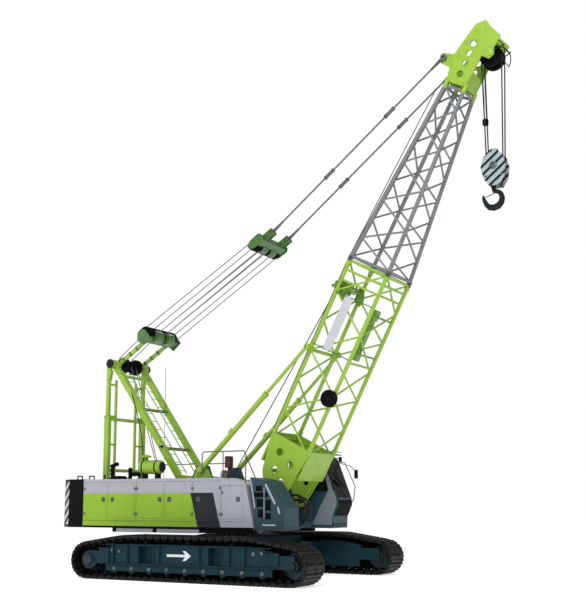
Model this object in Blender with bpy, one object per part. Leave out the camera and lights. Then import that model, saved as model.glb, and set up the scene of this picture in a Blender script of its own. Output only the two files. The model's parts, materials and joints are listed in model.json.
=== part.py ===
"""A crawler crane with a lattice boom, at its real size in metres.

X points forward, Y to the machine's left and Z up. Everything is laid out from the slewing axis, and
the empty "crane" then moves it so that the middle of its box stands over the origin."""

import math

import bmesh
import bpy
from mathutils import Matrix, Vector

# ---------------------------------------------------------------- driving dimensions
FORWARD_SHIFT = -1.211  # moves the slewing axis so that the whole box is centred
GAP = 0.0003  # between pieces that touch
PLAY = 0.006  # between pieces that move past each other

TRACK_Y = 2.185  # middle of each track
SHOE_WIDTH = 0.82
SHOE_COUNT = 66
BELT_THICK = 0.14
GROUSER = 0.03
WHEEL_X = 2.83  # end wheels, from the slewing axis
WHEEL_Z = 0.44  # also the outer radius of the belt there
CARRIER_X = 1.70  # where the top run starts to fall
TRACK_TOP = 1.05
FRAME_HALF = 0.255  # half width of a track frame
FRAME_BOTTOM = 0.36
FRAME_TOP = 0.84
ROLLER_RADIUS = 0.098

DECK_Z = 1.175  # underside of the upper works
FLOOR_Z = 1.225
ROOF_Z = 2.38
HOUSE_REAR = -3.82
HOUSE_FRONT = 1.28
HOUSE_OUT = 1.55
HOUSE_IN = 0.88
WALL = 0.03
DOOR_THICK = 0.03
DOOR_GAP = 0.006  # round each leaf
DOOR_LOW = 1.36
DOOR_HIGH = 2.30
PLATE_IN, PLATE_OUT = 0.70, 0.75  # side plates of the upper frame

WEIGHT_REAR = -4.66
WEIGHT_TOP = 2.39

BOOM_PIN = Vector((1.33, 0.0, 1.83))
BOOM_ANGLE = 62.8
BOOM_MID = 0.25  # middle of the section, measured from the foot pin towards the rear face
FOOT_END = 1.45
BASE_END = 5.95
BASE_HALF_Y = 0.625  # to the middle of a chord
BASE_HALF_N = 0.54
TOP_END = 10.62
HEAD_HALF_Y = 0.31
HEAD_HALF_N = 0.25
CHORD = 0.05  # radius of a chord
LACE = 0.0245  # radius of a lacing tube
SHEAVE_S, SHEAVE_N = 11.55, -0.18  # hoist sheaves, in the boom's own directions
SHEAVE_RADIUS = 0.27
STAY_S, STAY_N = 11.15, 0.80  # eye of the pendants on the boom head

GANTRY_TOP = Vector((-3.69, 0.0, 5.47))
GANTRY_FOOT = Vector((-1.35, 0.0, 2.20))
GANTRY_Y = 0.60
POST_X = -3.765
POST_Y = 0.735
BAIL_ANGLE = 32.5
BAIL_LENGTH = 1.20
SPREADER = 5.32  # from the gantry top to the spreader's pin
PENDANT_Y = 0.40

STRUT_FOOT = Vector((-0.70, 0.0, 2.60))
STRUT_S, STRUT_N = 3.68, 0.80  # eye of a backstop on the boom
STRUT_Y = 0.83
EYE_CLEAR = 0.048  # half a rod's width and a little play: these pins end just short of the eyes

BLOCK_X = 6.76
BLOCK_Z = 9.36
HOOK_Z = 8.64

CAB_IN, CAB_OUT = 0.78, 1.57
CAB_WALL = 0.045

# ---------------------------------------------------------------- scene and helpers
for old in list(bpy.data.objects):
    bpy.data.objects.remove(old)

parts = bpy.data.collections.new("parts")
helpers = bpy.data.collections.new("cutters")
helpers.hide_render = True
bpy.context.scene.collection.children.link(parts)
bpy.context.scene.collection.children.link(helpers)


def pivot(name, at, angle=0.0, parent=None):
    """An empty on a joint's axis, with its X axis turned up by angle degrees."""
    empty = bpy.data.objects.new(name, None)
    parts.objects.link(empty)
    empty.empty_display_size = 0.3
    empty.location = at
    empty.rotation_euler = (0.0, -math.radians(angle), 0.0)
    empty.parent = parent
    return empty


def finished(mesh):
    """Merges doubles and turns every face outwards."""
    build = bmesh.new()
    build.from_mesh(mesh)
    bmesh.ops.remove_doubles(build, verts=build.verts, dist=1e-5)
    bmesh.ops.recalc_face_normals(build, faces=build.faces)
    build.to_mesh(mesh)
    build.free()
    return mesh


def shape(build, name="shape"):
    """A helper object from a bmesh."""
    mesh = bpy.data.meshes.new(name)
    build.to_mesh(mesh)
    build.free()
    return bpy.data.objects.new(name, finished(mesh))


def block(low, high):
    """A box between two corners."""
    build = bmesh.new()
    bmesh.ops.create_cube(build, size=1.0)
    size = [high[i] - low[i] for i in range(3)]
    middle = [(high[i] + low[i]) / 2 for i in range(3)]
    bmesh.ops.scale(build, vec=size, verts=build.verts)
    bmesh.ops.translate(build, vec=middle, verts=build.verts)
    return shape(build)


def aligned(start, end):
    """The matrix that takes Z to the line from start to end and keeps Y across, and the length."""
    start, end = Vector(start), Vector(end)
    along_line = end - start
    z_axis = along_line.normalized()
    across = Vector((1, 0, 0)) if abs(z_axis.y) > 0.99 else Vector((0, 1, 0))
    y_axis = (across - z_axis * across.dot(z_axis)).normalized()
    turn = Matrix((y_axis.cross(z_axis), y_axis, z_axis)).transposed().to_4x4()
    return Matrix.Translation((start + end) / 2) @ turn, along_line.length


def rod(start, end, radius, sides=8):
    """A round bar between two points."""
    matrix, length = aligned(start, end)
    build = bmesh.new()
    bmesh.ops.create_cone(
        build,
        cap_ends=True,
        segments=sides,
        radius1=radius,
        radius2=radius,
        depth=length,
        matrix=matrix,
    )
    return shape(build)


def beam(start, end, wide, deep):
    """A rectangular bar between two points: wide along Y, deep across."""
    matrix, length = aligned(start, end)
    build = bmesh.new()
    bmesh.ops.create_cube(build, size=1.0)
    bmesh.ops.scale(build, vec=(deep, wide, length), verts=build.verts)
    bmesh.ops.transform(build, matrix=matrix, verts=build.verts)
    return shape(build)


def axle(x, z, y0, y1, radius, sides=12):
    """A round bar across the machine."""
    return rod((x, y0, z), (x, y1, z), radius, sides)


def filled(outlines, thick, matrix):
    """A flat filled curve given a thickness; every outline after the first is a hole."""
    curve = bpy.data.curves.new("outline", "CURVE")
    curve.dimensions = "2D"
    curve.fill_mode = "BOTH"
    curve.extrude = thick / 2
    for outline in outlines:
        spline = curve.splines.new("POLY")
        spline.points.add(len(outline) - 1)
        for point, (a, b) in zip(spline.points, outline):
            point.co = (a, b, 0.0, 1.0)
        spline.use_cyclic_u = True
    source = bpy.data.objects.new("outline", curve)
    helpers.objects.link(source)
    mesh = bpy.data.meshes.new_from_object(source)
    bpy.data.objects.remove(source)
    mesh.transform(matrix)
    return bpy.data.objects.new("plate", finished(mesh))


def plate(outlines, y0, y1):
    """A plate across Y from XZ outlines."""
    upright = Matrix.Translation((0, (y0 + y1) / 2, 0)) @ Matrix.Rotation(math.pi / 2, 4, "X")
    return filled(outlines, abs(y1 - y0), upright)


def slab(outline, z0, z1):
    """A slab from one XY outline."""
    return filled([outline], z1 - z0, Matrix.Translation((0, 0, (z0 + z1) / 2)))


def ring(x, z, radius, sides=24, start=0.0):
    """Points of a circle, as an outline for a plate."""
    turns = [start + 2 * math.pi * i / sides for i in range(sides)]
    return [(x + radius * math.cos(t), z + radius * math.sin(t)) for t in turns]


def rectangle(x0, z0, x1, z1):
    return [(x0, z0), (x1, z0), (x1, z1), (x0, z1)]


def gather(name, pieces):
    """Puts helper pieces in a collection of their own that a Boolean reads."""
    group = bpy.data.collections.new(name)
    helpers.children.link(group)
    for number, piece in enumerate(pieces):
        piece.name = f"{name}_{number}"
        piece.hide_render = True
        piece.display_type = "WIRE"
        group.objects.link(piece)
    return group


def node(name, pieces, cuts=(), parent=None, colour="green"):
    """One finished sub-part: the pieces joined, then the cuts taken out."""
    first = pieces[0]
    first.name = name
    parts.objects.link(first)
    first.parent = parent
    rest = list(pieces[1:])
    for operation, others in (("UNION", rest), ("DIFFERENCE", list(cuts))):
        if not others:
            continue
        group = gather(f"{name}_{operation.lower()}", others)
        for other in others:
            other.parent = parent
        modifier = first.modifiers.new(operation.title(), "BOOLEAN")
        modifier.operation = operation
        modifier.solver = "EXACT"
        modifier.operand_type = "COLLECTION"
        modifier.collection = group
    first.data.materials.clear()
    first.data.materials.append(material(name, colour))
    return first


COLOURS = {
    "green": (0.33, 0.50, 0.03, 0.45, 0.0),
    "dark_green": (0.06, 0.16, 0.04, 0.45, 0.0),
    "grey": (0.40, 0.41, 0.45, 0.45, 0.0),
    "teal": (0.02, 0.07, 0.10, 0.45, 0.0),
    "black": (0.012, 0.012, 0.014, 0.5, 0.0),
    "steel": (0.25, 0.26, 0.27, 0.4, 1.0),
    "slate": (0.12, 0.13, 0.14, 0.5, 0.0),
    "glass": (0.02, 0.03, 0.04, 0.05, 0.0),
    "cloth": (0.05, 0.05, 0.055, 0.9, 0.0),
    "white": (0.75, 0.77, 0.77, 0.45, 0.0),
}


def material(name, colour):
    red, green, blue, roughness, metallic = COLOURS[colour]
    made = bpy.data.materials.new(f"{name}_finish")
    made.use_nodes = True
    shader = made.node_tree.nodes["Principled BSDF"]
    shader.inputs["Base Color"].default_value = (red, green, blue, 1.0)
    shader.inputs["Roughness"].default_value = roughness
    shader.inputs["Metallic"].default_value = metallic
    made.diffuse_color = (red, green, blue, 1.0)
    return made


# ---------------------------------------------------------------- undercarriage
crane = pivot("crane", (FORWARD_SHIFT, 0.0, 0.0))


def hull(points):
    """The convex outline round some points, counterclockwise."""
    points = sorted(set(points))

    def half(ordered):
        kept = []
        for p in ordered:
            while len(kept) > 1:
                (ax, az), (bx, bz) = kept[-2], kept[-1]
                if (bx - ax) * (p[1] - az) - (bz - az) * (p[0] - ax) > 1e-12:
                    break
                kept.pop()
            kept.append(p)
        return kept[:-1]

    return half(points) + half(reversed(points))


def belt_line(inset):
    """The outline of the belt, moved inwards by inset."""
    top = 0.30
    circles = (
        (-WHEEL_X, WHEEL_Z, WHEEL_Z),
        (WHEEL_X, WHEEL_Z, WHEEL_Z),
        (-CARRIER_X, TRACK_TOP - top, top),
        (CARRIER_X, TRACK_TOP - top, top),
    )
    cloud = []
    for x, z, radius in circles:
        cloud += [(round(a, 6), round(b, 6)) for a, b in ring(x, z, radius - inset, 28)]
    return hull(cloud)


def along(outline, steps):
    """Points at equal or given distances round an outline, each with its outward direction."""
    edges = [(Vector(a), Vector(b)) for a, b in zip(outline, outline[1:] + outline[:1])]
    total = sum((b - a).length for a, b in edges)
    found = []
    for share in steps:
        left = share * total
        for a, b in edges:
            length = (b - a).length
            if left <= length:
                direction = (b - a) / length
                found.append((a + direction * left, Vector((direction.y, -direction.x))))
                break
            left -= length
    return found


def shoe_outline():
    """The outside of the belt: one raised block and one narrow groove for each shoe."""
    steps = []
    depths = []
    for shoe in range(SHOE_COUNT):
        for share, depth in ((0.0, 0.0), (0.78, 0.0), (0.80, GROUSER), (0.98, GROUSER)):
            steps.append((shoe + share) / SHOE_COUNT)
            depths.append(depth)
    places = along(belt_line(0.0), steps)
    return [tuple(p - out * depth) for (p, out), depth in zip(places, depths)]


def gear(x, z, radius, teeth, depth):
    """A toothed outline."""
    points = []
    for tooth in range(teeth):
        for share, reach in ((0.0, 0.0), (0.18, depth), (0.42, depth), (0.60, 0.0)):
            turn = 2 * math.pi * (tooth + share) / teeth
            reached = radius - depth + reach
            points.append((x + reached * math.cos(turn), z + reached * math.sin(turn)))
    return points


SIDES = (("right", -1), ("left", 1))
ROLLERS = [-2.04 + 0.51 * i for i in range(9)]
WINDOWS = ((-1.32, -0.89), (0.65, 1.01))
FRAME_SIDE = [
    (-2.36, FRAME_BOTTOM),
    (2.36, FRAME_BOTTOM),
    (2.36, FRAME_TOP - 0.11),
    (1.75, FRAME_TOP),
    (-1.75, FRAME_TOP),
    (-2.36, FRAME_TOP - 0.11),
]

for side, sign in SIDES:
    middle = sign * TRACK_Y
    belt = plate(
        [shoe_outline(), belt_line(BELT_THICK)], middle - SHOE_WIDTH / 2, middle + SHOE_WIDTH / 2
    )
    node(f"track_{side}", [belt], parent=crane, colour="black")

    inner, outer = middle - FRAME_HALF, middle + FRAME_HALF
    pieces = [plate([FRAME_SIDE], inner, outer)]
    for end in (-1, 1):
        for across in (-1, 1):
            cheek = middle + across * 0.225
            reach = sorted((end * 2.30, end * 2.86))
            pieces.append(
                block((reach[0], cheek - 0.03, 0.37), (reach[1], cheek + 0.03, 0.66))
            )
    for x in ROLLERS:
        pieces.append(axle(x, 0.242, middle - 0.24, middle + 0.24, ROLLER_RADIUS, 8))
    for across in (-1, 1):
        rail = middle + across * 0.225
        pieces.append(block((-2.30, rail - 0.02, 0.20), (2.30, rail + 0.02, 0.38)))
    for x in (-1.2, 0.0, 1.2):
        pieces.append(axle(x, 0.845, middle - 0.15, middle + 0.15, 0.055, 8))
    face = middle + sign * FRAME_HALF
    cuts = []
    for x0, x1 in WINDOWS:
        span = sorted((face - sign * 0.16, face + sign * 0.05))
        cuts.append(block((x0, span[0], 0.40), (x1, span[1], 0.79)))
    node(f"track_frame_{side}", pieces, cuts, parent=crane, colour="teal")

    wheel = plate([gear(-WHEEL_X, WHEEL_Z, 0.292, 13, 0.035)], middle - 0.05, middle + 0.05)
    hub = axle(-WHEEL_X, WHEEL_Z, middle - 0.19, middle + 0.19, 0.21, 16)
    node(f"drive_sprocket_{side}", [wheel, hub], parent=crane, colour="slate")

    rim = axle(WHEEL_X, WHEEL_Z, middle - 0.15, middle + 0.15, 0.288, 20)
    boss = axle(WHEEL_X, WHEEL_Z, middle - 0.19, middle + 0.19, 0.12, 14)
    node(f"idler_{side}", [rim, boss], parent=crane, colour="slate")

AXLE_IN = TRACK_Y - FRAME_HALF - GAP
chassis = [block((-1.05, -1.15, 0.45), (1.05, 1.15, 0.98))]
for x in (-0.98, 0.98):
    chassis.append(block((x - 0.26, -AXLE_IN, 0.42), (x + 0.26, AXLE_IN, 0.80)))
chassis.append(rod((0, 0, 0.90), (0, 0, 1.02), 0.95, 24))
node("car_body", chassis, parent=crane, colour="teal")

bearing = [rod((0, 0, 1.02 + GAP), (0, 0, DECK_Z - 0.02), 0.80, 28)]
bore = [rod((0, 0, 0.9), (0, 0, 1.4), 0.62, 24)]
node("slew_ring", bearing, bore, parent=crane, colour="steel")

# ---------------------------------------------------------------- upper works
upper = pivot("slew_axis", (0.0, 0.0, 0.0), parent=crane)

SIDE_PLATE = [
    (HOUSE_REAR, FLOOR_Z - 0.02),
    (1.60, FLOOR_Z - 0.02),
    (1.60, 1.75),
    (1.46, 1.97),
    (1.20, 1.97),
    (0.95, 1.75),
    (-0.30, 2.10),
    (-0.52, 2.70),
    (-0.88, 2.70),
    (-1.05, 2.36),
    (-1.25, 2.36),
    (-1.45, 2.36),
    (-1.60, 2.00),
    (HOUSE_REAR, 2.00),
]
floor = [block((HOUSE_REAR, -HOUSE_OUT, DECK_Z), (HOUSE_FRONT, HOUSE_OUT, FLOOR_Z))]
floor.append(block((HOUSE_FRONT - 0.1, -HOUSE_OUT, DECK_Z), (2.10, -0.80, FLOOR_Z)))
floor.append(block((HOUSE_FRONT - 0.1, 0.70, DECK_Z), (2.15, CAB_OUT, FLOOR_Z)))
floor.append(block((-1.6, -0.72, DECK_Z + 0.01), (1.60, 0.72, FLOOR_Z + 0.12)))
floor.append(rod((0, 0, DECK_Z - 0.018), (0, 0, DECK_Z + 0.02), 0.78, 24))
for side, sign in SIDES:
    span = sorted((sign * PLATE_IN, sign * PLATE_OUT))
    floor.append(plate([SIDE_PLATE], span[0], span[1]))
    across = sorted((sign * (PLATE_OUT - 0.01), sign * (STRUT_Y + 0.05)))
    floor.append(axle(STRUT_FOOT.x, STRUT_FOOT.z, across[0], across[1], 0.03, 12))
    across = sorted((sign * 0.52, sign * (PLATE_IN + 0.01)))
    floor.append(axle(GANTRY_FOOT.x, GANTRY_FOOT.z, across[0], across[1], 0.045, 12))
    across = sorted((sign * 0.54, sign * (PLATE_OUT + 0.02)))
    floor.append(axle(BOOM_PIN.x, BOOM_PIN.z, across[0], across[1], 0.055, 12))
node("upper_frame", floor, parent=upper, colour="slate")

WEIGHT_PLAN = [
    (WEIGHT_REAR, -HOUSE_OUT + 0.25),
    (WEIGHT_REAR + 0.36, -HOUSE_OUT),
    (HOUSE_REAR - 0.03, -HOUSE_OUT),
    (HOUSE_REAR - 0.03, HOUSE_OUT),
    (WEIGHT_REAR + 0.36, HOUSE_OUT),
    (WEIGHT_REAR, HOUSE_OUT - 0.25),
]
for name, low, high in (
    ("counterweight_lower", DECK_Z, 1.78),
    ("counterweight_upper", 1.78 + GAP, WEIGHT_TOP),
):
    node(name, [slab(WEIGHT_PLAN, low, high)], parent=upper, colour="black")

DOORS = {  # leaf: (rear edge, front edge, hinge at)
    "right": (
        ("door_right_1", -3.80, -3.02, "rear"),
        ("door_right_2", -3.01, -2.14, "front"),
        ("door_right_3", -2.12, -1.26, "rear"),
        ("door_right_4", -1.25, -0.42, "front"),
        ("door_right_5", -0.40, 0.375, "front"),
        ("door_right_6", 0.395, 1.00, "rear"),
    ),
    "left": (
        ("door_left_1", -3.01, -2.14, "rear"),
        ("door_left_2", -2.13, -1.26, "front"),
    ),
}


def house_outline(inset, front):
    """Side outline of a machinery house, with its roof falling towards the front."""
    return [
        (HOUSE_REAR + inset, FLOOR_Z + GAP + inset),
        (front - inset, FLOOR_Z + GAP + inset),
        (front - inset - 0.22 * (front > 1), 2.22 - inset),
        (min(0.40, front - 0.1), ROOF_Z - inset),
        (HOUSE_REAR + inset, ROOF_Z - inset),
    ]


for side, sign in SIDES:
    front = HOUSE_FRONT if sign < 0 else 0.80
    shell = plate([house_outline(0.0, front)], *sorted((sign * HOUSE_IN, sign * HOUSE_OUT)))
    room = plate(
        [house_outline(WALL, front)],
        *sorted((sign * (HOUSE_IN + WALL), sign * (HOUSE_OUT - WALL))),
    )
    cuts = [room]
    for name, x0, x1, hinge in DOORS[side]:
        across = sorted((sign * (HOUSE_OUT - 0.06), sign * (HOUSE_OUT + 0.1)))
        low = (x0 - DOOR_GAP, across[0], DOOR_LOW - DOOR_GAP)
        high = (x1 + DOOR_GAP, across[1], (2.19 if x1 > 0.9 else DOOR_HIGH) + DOOR_GAP)
        cuts.append(block(low, high))
    node(f"house_{side}", [shell], cuts, parent=upper, colour="grey")
    for name, x0, x1, hinge in DOORS[side]:
        edge = x0 if hinge == "rear" else x1
        at = pivot(f"{name}_hinge", (edge, sign * HOUSE_OUT, DOOR_LOW), parent=upper)
        across = sorted((-sign * DOOR_THICK, 0.0))
        high = (2.19 if x1 > 0.9 else DOOR_HIGH) - DOOR_LOW
        leaf = block((x0 - edge, across[0], 0.0), (x1 - edge, across[1], high))
        node(name, [leaf], parent=at, colour="green" if x1 < 0 else "grey")

STEP_BOX = [
    (1.30, FLOOR_Z + GAP),
    (2.08, FLOOR_Z + GAP),
    (2.08, 1.68),
    (1.62, 2.30),
    (1.18, 2.38),
    (1.30, 1.60),
]
steps = plate([STEP_BOX], -HOUSE_OUT + 0.005, -0.84)
node("step_box", [steps], parent=upper, colour="teal")

winch_sides = [axle(-0.62, 1.62, -0.60, 0.60, 0.10, 12)]
winch_sides.append(axle(-0.62, 1.62, -0.42, 0.42, 0.20, 14))
for y in (-0.45, 0.0, 0.45):
    winch_sides.append(axle(-0.62, 1.62, y - 0.02, y + 0.02, 0.27, 14))
for y in (-0.58, 0.58):
    winch_sides.append(block((-0.80, y - 0.03, FLOOR_Z + 0.12 + GAP), (-0.44, y + 0.03, 1.70)))
node("hoist_winch", winch_sides, parent=upper, colour="slate")

luff_winch = [axle(-2.30, 1.60, -0.60, 0.60, 0.10, 12)]
luff_winch.append(axle(-2.30, 1.60, -0.40, 0.40, 0.19, 14))
for y in (-0.42, 0.42):
    luff_winch.append(axle(-2.30, 1.60, y - 0.02, y + 0.02, 0.26, 14))
for y in (-0.58, 0.58):
    luff_winch.append(block((-2.48, y - 0.03, FLOOR_Z + GAP), (-2.12, y + 0.03, 1.68)))
node("luffing_winch", luff_winch, parent=upper, colour="slate")

can = [rod((-2.35, -1.10, 2.68), (-1.67, -1.10, 2.68), 0.175, 14)]
can.append(rod((-2.19, -1.10, 2.70), (-2.19, -1.10, 2.96), 0.055, 12))
can.append(rod((-2.19, -1.10, 2.93), (-2.19, -1.10, 3.00), 0.14, 14))
for x in (-2.21, -1.81):
    can.append(block((x - 0.03, -1.20, ROOF_Z + GAP), (x + 0.03, -1.00, 2.60)))
node("air_cleaner", can, parent=upper, colour="green")

pipe = [rod((-3.22, -1.15, ROOF_Z + GAP), (-3.22, -1.15, 2.76), 0.05, 12)]
pipe.append(rod((-3.26, -1.15, 2.72), (-3.05, -1.15, 2.78), 0.05, 12))
node("exhaust_pipe", pipe, parent=upper, colour="black")

engine_block = [block((-3.30, -1.40, FLOOR_Z + 2 * GAP + WALL), (-1.60, -0.98, 2.02))]
node("engine_block", engine_block, parent=upper, colour="slate")

# ---------------------------------------------------------------- cab
CAB_SIDE = [
    (0.90, FLOOR_Z + GAP),
    (2.15, FLOOR_Z + GAP),
    (2.16, 1.45),
    (2.29, 1.74),
    (2.28, 1.90),
    (1.90, 2.88),
    (1.78, 2.97),
    (1.06, 2.97),
    (0.90, 2.86),
]
CAB_ROOM = [
    (0.90 + CAB_WALL, FLOOR_Z + CAB_WALL),
    (2.15 - CAB_WALL, FLOOR_Z + CAB_WALL),
    (2.16 - CAB_WALL, 1.46),
    (2.29 - CAB_WALL, 1.75),
    (2.28 - CAB_WALL, 1.89),
    (1.90 - CAB_WALL, 2.85),
    (1.76, 2.97 - CAB_WALL),
    (1.08, 2.97 - CAB_WALL),
    (0.90 + CAB_WALL, 2.84),
]
FRONT_LOW, FRONT_HIGH = Vector((2.265, 1.935)), Vector((1.905, 2.845))
SIDE_PANE = [(1.16, 2.10), (1.98, 2.10), (1.74, 2.80), (1.16, 2.80)]
DOOR_EDGE = [(1.02, 1.30), (1.80, 1.30), (2.00, 1.70), (2.00, 2.10), (1.72, 2.83), (1.02, 2.83)]
DOOR_PANE = [(1.10, 1.95), (1.94, 1.95), (1.92, 2.10), (1.67, 2.75), (1.10, 2.75)]


def grown(outline, by):
    """An outline with every point moved away from its middle along X and Z."""
    mx = sum(p[0] for p in outline) / len(outline)
    mz = sum(p[1] for p in outline) / len(outline)
    moved = []
    for x, z in outline:
        moved.append((x + by * math.copysign(1, x - mx), z + by * math.copysign(1, z - mz)))
    return moved


shell = plate([CAB_SIDE], CAB_IN, CAB_OUT)
room = plate([CAB_ROOM], CAB_IN + CAB_WALL, CAB_OUT - CAB_WALL)
slope = FRONT_HIGH - FRONT_LOW
front_mid = (FRONT_LOW + FRONT_HIGH) / 2
low3 = (FRONT_LOW.x, (CAB_IN + CAB_OUT) / 2, FRONT_LOW.y)
high3 = (FRONT_HIGH.x, (CAB_IN + CAB_OUT) / 2, FRONT_HIGH.y)
pane_width = CAB_OUT - CAB_IN - 0.12
front_cut = beam(low3, high3, pane_width, 0.3)
side_cut = plate([SIDE_PANE], CAB_IN - 0.05, CAB_IN + CAB_WALL + 0.02)
door_cut = plate([grown(DOOR_EDGE, DOOR_GAP)], CAB_OUT - CAB_WALL - 0.02, CAB_OUT + 0.05)
node("cab_shell", [shell], [room, front_cut, side_cut, door_cut], parent=upper, colour="slate")

inset = slope.normalized() * 0.003
glass_low = (low3[0] + inset.x, low3[1], low3[2] + inset.y)
glass_high = (high3[0] - inset.x, high3[1], high3[2] - inset.y)
screen = beam(glass_low, glass_high, pane_width - 0.006, 0.012)
node("cab_windscreen", [screen], parent=upper, colour="glass")
pane = plate([grown(SIDE_PANE, -0.003)], CAB_IN + 0.010, CAB_IN + 0.020)
node("cab_window_right", [pane], parent=upper, colour="glass")

DOOR_HINGE = (1.02, CAB_OUT, 1.30)
cab_hinge = pivot("cab_door_hinge", DOOR_HINGE, parent=upper)


def from_hinge(outline):
    return [(x - DOOR_HINGE[0], z - DOOR_HINGE[2]) for x, z in outline]


leaf = plate([from_hinge(DOOR_EDGE), from_hinge(DOOR_PANE)], -0.040, 0.0)
node("cab_door", [leaf], parent=cab_hinge, colour="slate")
door_glass = plate([from_hinge(grown(DOOR_PANE, -0.003))], -0.024, -0.014)
node("cab_door_glass", [door_glass], parent=cab_hinge, colour="glass")

seat_y = (CAB_IN + CAB_OUT) / 2
seat = [block((1.18, seat_y - 0.24, 1.62), (1.66, seat_y + 0.24, 1.76))]
seat.append(beam((1.24, seat_y, 1.70), (1.10, seat_y, 2.36), 0.46, 0.12))
seat.append(block((1.28, seat_y - 0.12, FLOOR_Z + CAB_WALL + GAP), (1.52, seat_y + 0.12, 1.64)))
node("cab_seat", seat, parent=upper, colour="cloth")
desk = [block((1.92, seat_y - 0.20, FLOOR_Z + CAB_WALL + GAP), (2.05, seat_y + 0.20, 1.62))]
desk.append(beam((1.97, seat_y, 1.55), (1.88, seat_y, 1.85), 0.30, 0.05))
node("cab_console", desk, parent=upper, colour="black")

# ---------------------------------------------------------------- gantry
legs = []
for sign in (-1, 1):
    y = sign * GANTRY_Y
    foot = (GANTRY_FOOT.x, y, GANTRY_FOOT.z)
    top = (GANTRY_TOP.x, y, GANTRY_TOP.z)
    legs.append(beam(foot, top, 0.12, 0.14))
    legs.append(axle(GANTRY_FOOT.x, GANTRY_FOOT.z, y - 0.066, y + 0.066, 0.11, 14))
    legs.append(axle(GANTRY_TOP.x, GANTRY_TOP.z, y - 0.066, y + 0.066, 0.12, 14))
for share in (0.30, 0.62, 0.90):
    at = GANTRY_FOOT.lerp(GANTRY_TOP, share)
    legs.append(rod((at.x, -GANTRY_Y, at.z), (at.x, GANTRY_Y, at.z), 0.04, 8))
foot_holes = [axle(GANTRY_FOOT.x, GANTRY_FOOT.z, -0.8, 0.8, 0.05, 12)]
foot_holes.append(axle(GANTRY_TOP.x, GANTRY_TOP.z, -0.8, 0.8, 0.05, 12))
node("gantry_front", legs, foot_holes, parent=upper, colour="green")

posts = []
for sign in (-1, 1):
    y = sign * POST_Y
    posts.append(block((POST_X - 0.07, y - 0.06, 2.00 + GAP), (POST_X + 0.07, y + 0.06, 4.02)))
    posts.append(block((POST_X - 0.045, y - 0.045, 4.00), (POST_X + 0.045, y + 0.045, 5.40)))
    posts.append(beam((POST_X, y, 5.30), (GANTRY_TOP.x, y, GANTRY_TOP.z), 0.08, 0.12))
    posts.append(axle(GANTRY_TOP.x, GANTRY_TOP.z, y - 0.045, y + 0.045, 0.10, 14))
for z in (2.60, 3.96):
    posts.append(block((POST_X - 0.04, -POST_Y, z), (POST_X + 0.04, POST_Y, z + 0.08)))
bores = [axle(GANTRY_TOP.x, GANTRY_TOP.z, -0.9, 0.9, 0.05, 12)]
node("gantry_rear", posts, bores, parent=upper, colour="green")

# ---------------------------------------------------------------- luffing gear
bail_pivot = pivot("bail_pivot", GANTRY_TOP, BAIL_ANGLE, upper)
arms = []
for sign in (-1, 1):
    y = sign * 0.46
    arms.append(block((0.0, y - 0.03, -0.05), (BAIL_LENGTH, y + 0.03, 0.05)))
    arms.append(axle(0.0, 0.0, y - 0.036, y + 0.036, 0.10, 14))
arms.append(block((BAIL_LENGTH - 0.10, -0.70, -0.08), (BAIL_LENGTH + 0.12, 0.70, 0.08)))
for y in (-0.24, 0.24):
    arms.append(axle(BAIL_LENGTH + 0.12, 0.0, y - 0.13, y + 0.13, 0.16, 14))
bores = [axle(0.0, 0.0, -0.8, 0.8, 0.05, 12)]
node("bail", arms, bores, parent=bail_pivot, colour="dark_green")

shaft = [axle(0, 0, -0.80, 0.80, 0.045, 12)]
shaft.append(axle(0, 0, -0.30, -0.22, 0.20, 16))
shaft.append(axle(0, 0, 0.22, 0.30, 0.20, 16))
gantry_head = pivot("gantry_head", GANTRY_TOP, 0.0, upper)
node("gantry_head_shaft", shaft, parent=gantry_head, colour="black")

spreader_pivot = pivot("spreader_pivot", (SPREADER, 0, 0), 0.0, bail_pivot)
cross = [block((-0.14, -0.60, -0.10), (0.10, 0.60, 0.10))]
for y in (-0.20, 0.20):
    cross.append(axle(-0.18, 0.0, y - 0.13, y + 0.13, 0.16, 14))
for y in (-PENDANT_Y, PENDANT_Y):
    for side in (-0.055, 0.055):
        lug = block((0.0, y + side - 0.015, -0.09), (0.40, y + side + 0.015, 0.09))
        cross.append(lug)
    cross.append(axle(0.34, 0.0, y - 0.06, y + 0.06, 0.028, 12))
node("spreader", cross, parent=spreader_pivot, colour="dark_green")

boom = pivot("boom_pivot", BOOM_PIN, BOOM_ANGLE, upper)


def boom_point(s, n):
    """A point of the boom, in metres from the slewing axis."""
    turn = math.radians(BOOM_ANGLE)
    along_boom = Vector((math.cos(turn), 0.0, math.sin(turn)))
    across_boom = Vector((-math.sin(turn), 0.0, math.cos(turn)))
    return BOOM_PIN + along_boom * s + across_boom * n


bail_turn = math.radians(BAIL_ANGLE)
rope_line = Vector((math.cos(bail_turn), 0.0, math.sin(bail_turn)))
pendant_foot = GANTRY_TOP + rope_line * (SPREADER + 0.34)
pendant_head = boom_point(STAY_S, STAY_N)
pendant_line = pendant_head - pendant_foot
pendant_angle = math.degrees(math.atan2(pendant_line.z, pendant_line.x))
pendant_pivot = pivot(
    "pendant_pivot", (0.34, 0.0, 0.0), pendant_angle - BAIL_ANGLE, spreader_pivot
)
for side, sign in SIDES:
    y = sign * PENDANT_Y
    length = pendant_line.length
    links = [rod((0, y, 0), (length, y, 0), 0.022, 10)]
    for x in (0.0, length):
        links.append(axle(x, 0, y - 0.03, y + 0.03, 0.075, 14))
    for x in (length * 0.35, length * 0.70):
        links.append(rod((x - 0.16, y, 0), (x + 0.16, y, 0), 0.045, 10))
    eyes = [axle(x, 0, y - 0.1, y + 0.1, 0.035, 12) for x in (0.0, length)]
    node(f"pendant_{side}", links, eyes, parent=pendant_pivot, colour="steel")

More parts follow.
